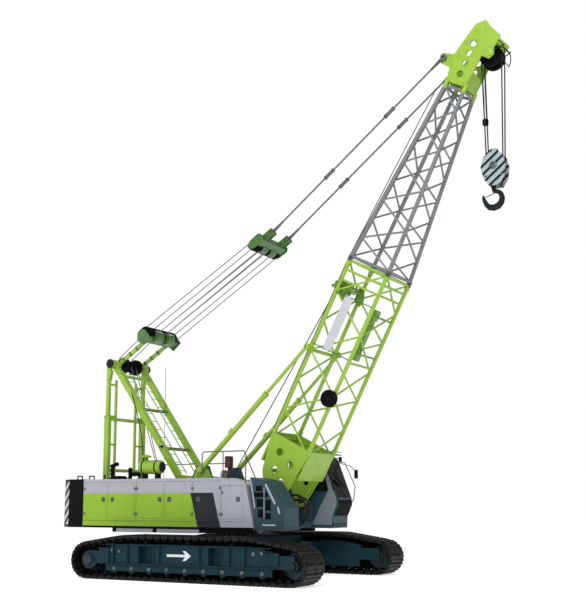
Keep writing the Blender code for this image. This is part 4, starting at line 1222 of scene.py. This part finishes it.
ladders = Piece(CENTRE)
for sign in (-1, 1):
    for y in (0.20, 0.44):
        ladders.tube(on_leg(0.10, sign * y, 0.02), on_leg(0.94, sign * y, 0.02), 0.014, 6)
    for rung in range(13):
        share = 0.12 + 0.80 * rung / 12
        ladders.tube(on_leg(share, sign * 0.20, 0.02), on_leg(share, sign * 0.44, 0.02), 0.010, 6)
ladders.finish("gantry_ladders", "upper_works", lime_paint)
braces = Piece(CENTRE)
for share in (0.30, 0.62):
    braces.bar(on_leg(share, -0.60, 0.0), on_leg(share, 0.60, 0.0), 0.07, 0.07, 0.008)
braces.bar(on_leg(0.30, -0.66, 0.06), on_leg(0.30, -0.78, 0.06), 0.05, 0.05, 0.008)
for sign in (-1, 1):
    braces.box((-3.80, sign * 0.735 - 0.065, 2.40), (-3.73, sign * 0.735 + 0.065, 2.52), 0.01)
    braces.turned(boss(0.12, 0.09, 0.02, 0.03), (HEAD_X, sign * 0.79, HEAD_Z), (0, sign, 0), 24)
braces.finish("gantry_braces", "upper_works", charcoal_paint)
stays = Piece(CENTRE)
for sign in (-1, 1):
    stays.box((-3.80, sign * 0.42 - 0.03, 2.50), (-3.74, sign * 0.42 + 0.03, 5.06), 0.006)
    for z in (2.52, 3.30, 4.05, 4.90):
        ends = sorted((sign * 0.42, sign * 0.735))
        stays.box((-3.79, ends[0], z), (-3.745, ends[1], z + 0.05), 0.004)
    stays.bar((-3.765, sign * 0.735, 5.02), (-3.70, sign * 0.735, 5.30), 0.13, 0.10, 0.01)
    stays.box((-3.85, sign * 0.735 - 0.075, 4.02), (-3.68, sign * 0.735 + 0.075, 4.08), 0.008)
    stays.box((-3.86, sign * 0.735 - 0.08, ROOF_TOP), (-3.67, sign * 0.735 + 0.08, 2.41), 0.008)
stays.finish("gantry_inner_posts", "upper_works", lime_paint)
feet = Piece(CENTRE)
for sign in (-1, 1):
    feet.sheet(
        ((-1.62, 2.08), (-1.08, 2.08), (-1.20, 2.34), (-1.30, 2.40), (-1.42, 2.36)), sign * 0.675,
        sign * 0.695, 0.004
    )
    feet.turned(boss(0.09, 0.07, 0.02, 0.03), (FOOT_X, sign * 0.70, FOOT_Z), (0, sign, 0), 20)
feet.finish("gantry_foot_brackets", "upper_works", pale_paint)
pads = Piece(CENTRE)
for sign in (-1, 1):
    pads.sheet(
        ((-1.02, 2.30), (-0.36, 2.30), (-0.52, 2.62), (-0.64, 2.70), (-0.78, 2.70), (-0.88, 2.60)),
        sign * 0.755, sign * 0.775, 0.004
    )
    pads.turned(boss(0.075, 0.06, 0.015, 0.022), (-0.70, sign * 0.895, 2.60), (0, sign, 0), 20)
    pads.bar((-1.02, sign * 0.70, 2.40), (-1.55, sign * 0.66, 2.46), 0.05, 0.10, 0.01)
pads.finish("backstop_foot_brackets", "upper_works", lime_paint)

# %% Sheaves at the gantry head
SHEAVE_RIM = (
    (-0.045, 0.0), (-0.045, 0.62), (-0.03, 0.70), (-0.045, 0.86), (-0.045, 1.0), (-0.02, 0.985),
    (0.0, 0.90), (0.02, 0.985), (0.045, 1.0), (0.045, 0.86), (0.03, 0.70), (0.045, 0.62), (0.045, 0.0)
)


def sheave(piece, middle, radius, sides=28):
    """A grooved wheel across Y."""
    piece.turned([(along, radius * share) for along, share in SHEAVE_RIM], middle, (0, 1, 0), sides)


wheels = Piece(CENTRE)
sheave(wheels, (HEAD_X + 0.02, -0.26, HEAD_Z), 0.215)
sheave(wheels, (HEAD_X + 0.02, 0.26, HEAD_Z), 0.215)
sheave(wheels, (HEAD_X + 0.02, -0.12, HEAD_Z), 0.16)
sheave(wheels, (HEAD_X + 0.02, 0.12, HEAD_Z), 0.16)
wheels.finish("gantry_sheaves", "upper_works", black_paint)
print("gantry dressed")

# %% [markdown]
# ## Bail, spreader and the luffing ropes
# The luffing rope runs many times between the bail at the gantry and the spreader on the pendants. Hauling
# it in pulls the spreader closer, which raises the boom. Each part of the rope is its own tube, laid from a
# sheave on the bail to one on the spreader.

# %% Bail and spreader
def bail_colours():
    """Lime arms and a leaf green block at their end."""
    finish = Finish("bail_paint", coat=0.1)
    x, y, z = finish.axes()
    rise = math.radians(ROPE_ANGLE)
    along = (x - BAIL.translation.x) * math.cos(rise) + (z - BAIL.translation.z) * math.sin(rise)
    return worn(finish, finish.blend(along > 1.0, LIME, LEAF), dirt=0.35)


recoat({"bail": bail_colours(), "spreader": leaf_paint})
BAIL_ROPES = (-0.54, -0.38, -0.22, -0.06, 0.10, 0.26, 0.42, 0.56)
SPREADER_ROPES = (-0.50, -0.36, -0.22, -0.08, 0.06, 0.20, 0.34, 0.48)
SPREADER_REACH = 5.32
PENDANT_PIN = 0.34
block = Piece(BAIL)
BAIL_PLATE = ((1.00, 0.04), (1.10, 0.20), (1.24, 0.24), (1.36, 0.14), (1.38, -0.10), (1.06, -0.14))
for y in (-0.70, 0.70):
    block.sheet(BAIL_PLATE, y - 0.015, y + 0.015, 0.006)
block.bar((1.10, -0.70, 0.17), (1.10, 0.70, 0.17), 0.03, 0.05, 0.006)
for y in (-0.46, 0.46):
    for share in (0.25, 0.5, 0.75):
        block.box((share - 0.03, y - 0.042, -0.058), (share + 0.03, y + 0.042, 0.058), 0.005)
block.finish("bail_plates", "bail", leaf_paint)
wheels = Piece(BAIL)
for y in BAIL_ROPES:
    sheave(wheels, (1.24, y, 0.12), 0.185, 20)
wheels.tube((1.24, -0.68, 0.09), (1.24, 0.68, 0.09), 0.03, 10)
wheels.finish("bail_sheaves", "bail", black_paint)
SPREADER_AT = Matrix(BAIL)
SPREADER_AT.translation = BAIL @ Vector((SPREADER_REACH, 0, 0))
wheels = Piece(SPREADER_AT)
for y in SPREADER_ROPES:
    sheave(wheels, (-0.20, y, 0.0), 0.15, 20)
wheels.tube((-0.20, -0.60, 0.0), (-0.20, 0.60, 0.0), 0.03, 10)
wheels.finish("spreader_sheaves", "spreader", black_paint)
cross = Piece(SPREADER_AT)
for y in (-0.615, 0.615):
    cross.sheet(
        (
            (-0.34, -0.06), (-0.34, 0.06), (-0.20, 0.12), (0.08, 0.13), (0.14, 0.06), (0.14, -0.06),
            (0.08, -0.13), (-0.20, -0.12)
        ),
        y - 0.012, y + 0.012, 0.004
    )
for y in (-0.40, 0.40):
    for side in (-0.078, 0.078):
        cross.turned(((-0.008, 0.05), (0.008, 0.05)), (PENDANT_PIN, y + side, 0), (0, 1, 0), 16)
cross.finish("spreader_plates", "spreader", leaf_paint)

# %% Luffing ropes
LUFF_ROPE = 0.011
reeve = Piece(BAIL)
for i, (bail_y, spread_y) in enumerate(zip(BAIL_ROPES, SPREADER_ROPES)):
    off = 0.135 if i % 2 == 0 else -0.135
    reeve.tube((1.30, bail_y, 0.12 + off), (5.12, spread_y, off), LUFF_ROPE, 6)
reeve = reeve.finish("luffing_ropes", None, wire_rope)
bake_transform(reeve)
down = Piece(CENTRE)
for y, x0 in ((-0.12, 0.03), (0.12, -0.14)):
    down.tube((HEAD_X + 0.17 + x0 * 0.2, y, HEAD_Z - 0.02), (-2.30 + x0, y, 1.80), LUFF_ROPE, 6)
down.tube((HEAD_X + 0.04, -0.12, HEAD_Z + 0.155), (HEAD_X + 0.08, -0.12, HEAD_Z + 0.155), LUFF_ROPE, 6)
down.finish("luffing_rope_down", "upper_works", wire_rope)
lead = Piece(BAIL)
for y in (-0.26, 0.26):
    lead.tube((0.0, y, 0.245), (1.24, y, 0.318), LUFF_ROPE, 6)
lead.finish("luffing_rope_lead", "bail", wire_rope)
hose = Piece(CENTRE)
points = [Vector((-3.10, -0.64, 4.75)).lerp(Vector((-2.35, -0.98, 2.66)), i / 10) for i in range(11)]
hose.path([p + Vector((0.10 * math.sin(math.pi * i / 10), 0, 0)) for i, p in enumerate(points)], 0.011, 6)
hose.finish("gantry_cable", "upper_works", rubber)

# %% Pendants and backstops
recoat({"pendant_right": pendant_rope, "pendant_left": pendant_rope})
recoat({name: lime_paint for name in ("backstop_tube_right", "backstop_tube_left")})
recoat({name: lime_paint for name in ("backstop_rod_right", "backstop_rod_left")})
foot = SPREADER_AT @ Vector((PENDANT_PIN, 0, 0))
stay_head = BOOM @ Vector((11.15, 0, 0.80))
PENDANT = turned(foot, math.degrees(math.atan2(stay_head.z - foot.z, stay_head.x - foot.x)))
length = (stay_head - foot).length
links = Piece(PENDANT)
for y in (-0.40, 0.40):
    for x, way in ((0.0, 1), (length, -1)):
        links.tube((x + way * 0.07, y, 0), (x + way * 0.40, y, 0), 0.040, 12, 0.026)
    for x in (length * 0.35, length * 0.70):
        for off in (-0.13, 0.13):
            links.turned(((-0.02, 0.052), (0.02, 0.052)), (x + off, y, 0), (1, 0, 0), 14)
links.finish("pendant_sockets", "pendants", dull_steel)
strut_head = boom_at(3.68, 0, 0.80)
strut_foot = at(-0.70, 0, 2.60)
STRUT = turned(strut_foot, math.degrees(math.atan2(strut_head.z - strut_foot.z, strut_head.x - strut_foot.x)))
collars = Piece(STRUT)
for y in (-0.83, 0.83):
    collars.turned(((-0.03, 0.072), (0.03, 0.078), (0.05, 0.078), (0.05, 0.055)), (2.56, y, 0), (1, 0, 0), 18)
    collars.turned(((-0.02, 0.07), (0.02, 0.07)), (0.55, y, 0), (1, 0, 0), 18)
    collars.box((1.20, y - 0.02, 0.06), (1.34, y + 0.02, 0.11), 0.006)
collars.finish("backstop_collars", "backstop_tubes", lime_paint)
print("luffing gear done")

# %% [markdown]
# ## The lattice boom
# A boom is four chords held apart by thin lacing. Lacing runs in zigzags on each face, so that the load
# never bends a chord between two joints. One function lays a section from its end sizes and its number of
# bays; the lower section is lime, the long tapered one is grey.

# %% Boom sections
MID_N = 0.25
CHORD = 0.05
LACE = 0.0235


def section(piece, start, end, half_start, half_end, bays, flip=1):
    """Chords, zigzag lacing and end frames from s = start to s = end."""

    def corner(s, side, face):
        share = (s - start) / (end - start)
        half_y = half_start[0] + (half_end[0] - half_start[0]) * share
        half_n = half_start[1] + (half_end[1] - half_start[1]) * share
        return Vector((s, side * half_y, MID_N + face * half_n))

    def lace(first, second, radius=LACE):
        """A tube between two chords, stopped at their skins."""
        pull = (second - first).normalized() * CHORD * 0.4
        piece.tube(first + pull, second - pull, radius, 8)

    for side in (-1, 1):
        for face in (-1, 1):
            piece.tube(corner(start, side, face), corner(end, side, face), CHORD, 14)
    stations = [start + (end - start) * i / bays for i in range(bays + 1)]
    for i, (a, b) in enumerate(zip(stations, stations[1:])):
        turn = flip if i % 2 else -flip
        for side in (-1, 1):
            lace(corner(a, side, turn), corner(b, side, -turn))
        for face in (-1, 1):
            lace(corner(a, turn, face), corner(b, -turn, face))
    for s in (start, end):
        for side in (-1, 1):
            lace(corner(s, side, -1), corner(s, side, 1), LACE * 1.5)
        for face in (-1, 1):
            lace(corner(s, -1, face), corner(s, 1, face), LACE * 1.5)


base = Piece(BOOM)
section(base, 1.33, 5.95, (0.625, 0.54), (0.625, 0.54), 6)
CHEEK = (
    (-0.13, -0.06), (-0.06, -0.13), (0.10, -0.15), (1.45, -0.34), (1.45, 0.84), (0.50, 0.66), (0.20, 0.46),
    (-0.06, 0.13), (-0.13, 0.06)
)
print("base chords laid")

# %% Foot cheeks with their holes
CHEEK_HOLES = (
    (1.10, 0.42, 0.10), (0.95, 0.02, 0.09), (0.66, 0.36, 0.09), (0.48, 0.08, 0.08), (0.0, 0.0, 0.06)
)


def pierced(piece, outline, holes, y0, y1, sides=20):
    """A plate with round holes: the outline and the rings are filled together, then pushed to their thickness."""
    loops = [outline]
    for x, z, radius in holes:
        ring = [
            (x + radius * math.cos(math.tau * i / sides), z + radius * math.sin(math.tau * i / sides))
            for i in range(sides)
        ]
        loops.append(ring)
    edges = []
    for loop in loops:
        verts = [piece.mesh.verts.new(piece.matrix @ Vector((x, y0, z))) for x, z in loop]
        edges += [piece.mesh.edges.new(pair) for pair in zip(verts, verts[1:] + verts[:1])]
    filled = bmesh.ops.triangle_fill(piece.mesh, use_beauty=True, use_dissolve=False, edges=edges)
    faces = [item for item in filled["geom"] if isinstance(item, bmesh.types.BMFace)]
    grown = bmesh.ops.extrude_face_region(piece.mesh, geom=faces)
    moved = [item for item in grown["geom"] if isinstance(item, bmesh.types.BMVert)]
    bmesh.ops.translate(piece.mesh, vec=piece.matrix.to_3x3() @ Vector((0, y1 - y0, 0)), verts=moved)


for sign in (-1, 1):
    pierced(base, CHEEK, CHEEK_HOLES, sign * 0.605, sign * 0.655)
    for x, z, radius in CHEEK_HOLES:
        rim = ring_profile(radius * 0.96, radius * 1.22, 0.008)
        base.turned(rim, (x, sign * 0.657, z), (0, sign, 0), 20)
for low, high in ((-0.335, -0.285), (0.785, 0.835)):
    base.box((0.70, -0.62, low), (1.45, 0.62, high), 0.008)
base.bar((0.52, -0.60, 0.62), (0.52, 0.60, 0.62), 0.05, 0.10, 0.01)
base.bar((0.14, -0.60, -0.06), (1.40, -0.60, -0.25), 0.05, 0.04, 0.006)
base.bar((0.14, 0.60, -0.06), (1.40, 0.60, -0.25), 0.05, 0.04, 0.006)
for sign in (-1, 1):
    inner, outer = sorted((sign * 0.60, sign * 0.782))
    base.tube((3.68, inner, 0.80), (3.68, outer, 0.80), 0.03, 16)
    base.box((3.56, sign * 0.64 - 0.03, 0.74), (3.80, sign * 0.64 + 0.03, 0.86), 0.01)
    for face in (-0.29, 0.79):
        for s in (1.50, 5.88):
            base.turned(((-0.05, 0.062), (0.05, 0.062)), (s, sign * 0.625, face), (1, 0, 0), 16)
base.bar((3.62, -0.62, 0.84), (3.62, 0.62, 0.84), 0.06, 0.08, 0.01)
base.bar((3.74, -0.62, -0.29), (3.74, 0.62, -0.29), 0.05, 0.05, 0.01)
base.bar((5.30, -0.62, 0.84), (5.30, 0.62, 0.84), 0.05, 0.07, 0.01)
made = base.finish("boom_base_lattice", "boom", lime_paint)
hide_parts("boom_base")

# %% The grey section and the pins between sections
top = Piece(BOOM)
section(top, 6.052, 10.56, (0.625, 0.54), (0.31, 0.25), 9)
made = top.finish("boom_top_lattice", "boom", tube_paint)
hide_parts("boom_top")
pins = Piece(BOOM)
for side in (-1, 1):
    for n in (MID_N - 0.54, MID_N + 0.54):
        y = side * 0.625
        pins.box((5.90, y - 0.045, n - 0.05), (6.06, y - 0.015, n + 0.05), 0.006)
        pins.box((5.94, y - 0.012, n - 0.045), (6.10, y + 0.012, n + 0.045), 0.006)
        pins.box((5.90, y + 0.015, n - 0.05), (6.06, y + 0.045, n + 0.05), 0.006)
        pins.tube((6.0, y - 0.075, n), (6.0, y + 0.075, n), 0.026, 12)
pins.finish("boom_section_pins", "boom", dull_steel)

# %% Blank panel, guide bar, arch and cable reel
panel = Piece(BOOM)
panel.box((3.77, -0.690, 0.25), (5.17, -0.672, 0.48), 0.004)
panel.finish("boom_blank_panel", "boom", paint("panel_white", (0.50, 0.52, 0.55), dirt=0.5))
clips = Piece(BOOM)
for s in (3.80, 5.14):
    clips.bar((s, -0.668, -0.28), (s, -0.668, 0.78), 0.012, 0.025, 0.003)
    for n in (0.28, 0.45):
        clips.bolt((s, -0.690, n), (0, -1, 0), 0.012)
clips.finish("panel_rails", "boom", leaf_paint)
# A darker copy of the lime paint: painted shade on the rope guide, also used for the sheave bracket.
shaded_lime = paint("shaded_lime_paint", (0.130, 0.260, 0.025), dirt=0.5)
guide = Piece(BOOM)
guide.bar((3.90, -0.20, -0.19), (5.07, -0.20, -0.19), 0.18, 0.10, 0.012)
guide.bar((4.86, -0.20, -0.20), (5.12, -0.20, -0.20), 0.24, 0.14, 0.012)
guide.bar((3.82, -0.20, -0.20), (3.98, -0.20, -0.20), 0.22, 0.12, 0.012)
for s in (4.0, 4.97):
    guide.bar((s, -0.20, -0.17), (s, -0.20, -0.28), 0.03, 0.03, 0.004)
    guide.bar((s, -0.62, -0.285), (s, 0.62, -0.285), 0.04, 0.04, 0.006)
guide.finish("rope_guide", "boom", shaded_lime)
arch = Piece(BOOM)
for y in (-0.16, 0.16):
    arch.sheet(((5.10, 0.82), (5.20, 1.16), (5.38, 1.18), (5.46, 0.82)), y - 0.012, y + 0.012, 0.004)
arch.bar((5.30, -0.60, 0.86), (5.30, 0.60, 0.86), 0.30, 0.06, 0.008)
for y in (-0.45, 0.45):
    arch.sheet(
        ((5.10, 0.82), (5.00, 0.62), (5.16, 0.56), (5.42, 0.66), (5.46, 0.82)), y - 0.02, y + 0.02, 0.004
    )
arch.finish("boom_sheave_bracket", "boom", shaded_lime)
frames = Piece(BOOM)
for s in (5.46, 5.72):
    for n in (-0.29, 0.79):
        frames.bar((s, -0.60, n), (s, 0.60, n), 0.05, 0.045, 0.006)
    for y in (-0.625, 0.625):
        frames.bar((s, y, -0.27), (s, y, 0.77), 0.045, 0.05, 0.006)
frames.finish("boom_end_frames", "boom", lime_paint)
wheels = Piece(BOOM)
sheave(wheels, (5.30, 0.0, 1.02), 0.14, 24)
wheels.tube((5.30, -0.18, 1.02), (5.30, 0.18, 1.02), 0.025, 10)
reel_profile = (
    (0.0, 0.0), (0.0, 0.20), (0.012, 0.205), (0.022, 0.20), (0.022, 0.11), (0.085, 0.11), (0.085, 0.20),
    (0.10, 0.205), (0.105, 0.17), (0.098, 0.10), (0.105, 0.04), (0.105, 0.0)
)
made = Piece(BOOM)
made.turned(reel_profile, (2.80, -0.70, -0.26), (0, -1, 0), 32)
for turn in range(6):
    spin = math.tau * turn / 6
    made.bar(
        (2.80 + 0.04 * math.cos(spin), -0.803, -0.26 + 0.04 * math.sin(spin)),
        (2.80 + 0.18 * math.cos(spin), -0.803, -0.26 + 0.18 * math.sin(spin)), 0.006, 0.016
    )
reel = made.finish("cable_reel_disc", "boom", black_paint)
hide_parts("cable_reel")
wheels.finish("boom_rear_sheave", "boom", black_paint)
print("boom fitted out")

# %% [markdown]
# ## The boom head
# The head is two thick plates with lightening holes, joined by cross tubes. The hoist sheaves hang in its
# nose, and the pendants pull on two ears at its rear.

# %% Head trim and sheaves
recoat({"boom_head": lime_paint})
SHEAVE_S, SHEAVE_N = 11.55, -0.18
GUARD = 0.36
HEAD_HOLES = ((10.91, 0.25, 0.085), (11.18, 0.25, 0.075), (11.42, 0.25, 0.075), (11.66, 0.25, 0.085))
head = Piece(BOOM)
for sign in (-1, 1):
    for s, n, radius in HEAD_HOLES:
        rim = ring_profile(radius * 0.98, radius * 1.2, 0.006)
        head.turned(rim, (s, sign * 0.342, n), (0, sign, 0), 20)
    head.turned(boss(0.11, 0.08, 0.02, 0.03), (SHEAVE_S, sign * 0.338, SHEAVE_N), (0, sign, 0), 24)
    head.turned(boss(0.08, 0.06, 0.015, 0.02), (11.15, sign * 0.318, 0.80), (0, sign, 0), 20)
    for s, n in ((10.70, 0.06), (10.70, 0.44), (12.02, 0.10), (11.95, 0.34), (11.28, 0.50), (11.62, 0.46)):
        head.bolt((s, sign * 0.340, n), (0, sign, 0), 0.016)
for s, n in ((10.80, 0.44), (11.95, 0.30)):
    head.tube((s, -0.31, n), (s, 0.31, n), 0.035, 12)
for n in (0.0, 0.50):
    for y in (-0.31, 0.31):
        head.tube((10.50, y, n), (10.72, y, n), 0.055, 12)
head.finish("boom_head_trim", "boom", lime_paint)
wheels = Piece(BOOM)
for y in (-0.12, 0.12):
    sheave(wheels, (SHEAVE_S, y, SHEAVE_N), 0.262, 36)
wheels.tube((SHEAVE_S, -0.28, SHEAVE_N), (SHEAVE_S, 0.28, SHEAVE_N), 0.05, 14)
made = wheels.finish("head_hoist_sheaves", "boom", black_paint)
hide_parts("head_sheaves")
guard = Piece(BOOM)
for y in (-0.24, 0.24):
    guard.path(
        [
            (SHEAVE_S + GUARD * math.cos(a), y, SHEAVE_N + GUARD * math.sin(a))
            for a in [math.radians(-95 + 15 * i) for i in range(8)]
        ],
        0.012, 6
    )
for angle in (-95, -50, 10):
    spot = (
        SHEAVE_S + GUARD * math.cos(math.radians(angle)), SHEAVE_N + GUARD * math.sin(math.radians(angle))
    )
    guard.tube((spot[0], -0.26, spot[1]), (spot[0], 0.26, spot[1]), 0.012, 6)
guard.tube((SHEAVE_S, -0.30, SHEAVE_N), (11.86, -0.24, -0.44), 0.014, 6)
guard.tube((SHEAVE_S, 0.30, SHEAVE_N), (11.86, 0.24, -0.44), 0.014, 6)
guard.finish("rope_guard", "boom", charcoal_paint)
cable = Piece(BOOM)
cable.path(
    [(1.4 + 0.9 * i, -0.66 + 0.035 * max(0, i - 5), 0.83 - 0.048 * max(0, i - 5)) for i in range(11)],
    0.010, 6
)
cable.finish("boom_signal_cable", "boom", rubber)

# %% Hoist rope over the boom
HOIST_ROPE = 0.012
FALL_ROPE = 0.016
winch_x, winch_z = WINCHES["hoist_winch"]
winch_top = at(winch_x - 0.10, 0, winch_z + 0.19)
rear_sheave = boom_at(5.30 - 0.06, 0, 1.02 + 0.13)
to_boom = Piece()
to_boom.tube(winch_top, rear_sheave, HOIST_ROPE, 6)
to_boom = to_boom.finish("hoist_rope_to_boom", None, hoist_rope)
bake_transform(to_boom)
along = Piece(BOOM)
along.path(((5.36, 0.0, 1.158), (10.95, 0.10, 0.62), (11.55, 0.12, 0.10)), HOIST_ROPE, 6)
along.finish("hoist_rope_on_boom", "boom", hoist_rope)

# %% [markdown]
# ## Falls, hook block and hook
# Four parts of rope carry the block. Each runs nearly plumb from a sheave in the boom's nose to one in the
# block.

# %% The falls
BLOCK = at(6.76, 0, 9.36)
falls = Piece()
for y in (-0.12, 0.12):
    for top_x, low_x in ((6.54, 6.58), (7.02, 6.96)):
        falls.tube(at(top_x, y, 12.02), at(low_x, y * 0.68, 9.38), FALL_ROPE, 8)
falls = falls.finish("hoist_falls", None, hoist_rope)
at(6.77, 0, 11.9)
at(6.77, 0, 9.9)
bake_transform(falls)
weight = Piece()
limit_low, limit_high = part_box("hoist_limit_weight")
middle = (limit_low + limit_high) / 2
tall = limit_high.z - limit_low.z
profile = (
    (0.0, 0.044), (0.0, 0.06), (0.015, 0.07), (tall - 0.015, 0.07), (tall, 0.06), (tall, 0.044),
    (0.0, 0.044)
)
weight.turned(profile, (middle.x, 0, limit_low.z), (0, 0, 1), 22)
for y in (-0.05, 0.05):
    weight.tube((middle.x, y, limit_high.z), (middle.x, y * 0.5, limit_high.z + 1.30), 0.004, 6)
weight = weight.finish("limit_weight_body", "hoist_line", black_paint)
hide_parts("hoist_limit_weight")


# %% Hook block
def cheek_colours():
    """White plates with black bars that slant, and black between them."""
    finish = Finish("hook_block_paint", specular=0.3)
    x, y, z = finish.axes()
    bars = (z - x * 0.80).wrapped(0.20) > 0.12
    inner = y.size() < 0.125
    return worn(finish, finish.blend(bars.most(inner), (0.33, 0.40, 0.42), BLACK), dirt=0.45)


recoat({"hook_block": cheek_colours(), "hook": charcoal_paint})
cheeks = Piece(Matrix.Translation(BLOCK))
for sign in (-1, 1):
    cheeks.turned(boss(0.085, 0.06, 0.02, 0.03), (0, sign * 0.175, 0.02), (0, sign, 0), 24)
    for x, z in ((-0.18, -0.22), (0.18, -0.22), (-0.05, 0.36), (0.10, 0.36)):
        cheeks.bolt((x, sign * 0.170, z), (0, sign, 0), 0.018)
for x, z in ((-0.18, -0.22), (0.18, -0.22), (0.02, 0.37)):
    cheeks.tube((x, -0.14, z), (x, 0.14, z), 0.022, 10)
cheeks.finish("hook_block_bolts", "hook_block", dull_steel)
wheels = Piece(Matrix.Translation(BLOCK))
for y in (-0.08, 0.08):
    sheave(wheels, (0, y, 0.02), 0.212, 32)
wheels.finish("hook_block_sheaves", "hook_block", black_paint)
print("rigging done")

# %% [markdown]
# ### The hook
# A forged hook is round in section and tapers to its tip. The plain one is a flat plate, so it is swapped
# for a chain of balls and cones laid along its middle line, which reads as one forging once it is smooth.

# %% A forged hook
HOOK_AT = Vector(JOINTS["hook_swivel"]["pos_m"])
hook_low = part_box("hook")[0]
hook_zero = Vector((HOOK_AT.x, 0, hook_low.z + 0.28))
line = (
    (0.0, 0.40, 0.046), (0.0, 0.22, 0.046), (0.02, 0.185, 0.050), (0.11, 0.155, 0.054), (0.17, 0.10, 0.058),
    (0.195, 0.0, 0.066), (0.17, -0.10, 0.074), (0.10, -0.175, 0.080), (0.0, -0.205, 0.078),
    (-0.10, -0.185, 0.070), (-0.17, -0.12, 0.060), (-0.215, -0.03, 0.050), (-0.24, 0.04, 0.040),
    (-0.245, 0.09, 0.026)
)
hook = Piece(Matrix.Translation(hook_zero))
for (x0, z0, r0), (x1, z1, r1) in zip(line, line[1:]):
    hook.tube((x0, 0, z0), (x1, 0, z1), r0 * 0.95, 14, r1 * 0.95)
for x, z, radius in line[1:]:
    hook.ball((x, 0, z), radius * 0.96, 14, 10)
hook.turned(((0, 0.052), (0.0, 0.062), (0.03, 0.062), (0.03, 0.04)), (0, 0, 0.27), (0, 0, 1), 18)
hook.bar((0.03, 0, 0.14), (-0.20, 0, 0.06), 0.03, 0.012, 0.003)
made = hook.finish("forged_hook", "hook", charcoal_paint, 60)
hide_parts("hook")
print("hook done")


# %% [markdown]
# ## Closing the lesson
# The pieces and their faces are counted.

# %% Counts, and the end
bpy.context.view_layer.update()
print("pieces:", len(PIECES), "faces:", sum(count for _, count in PIECES))
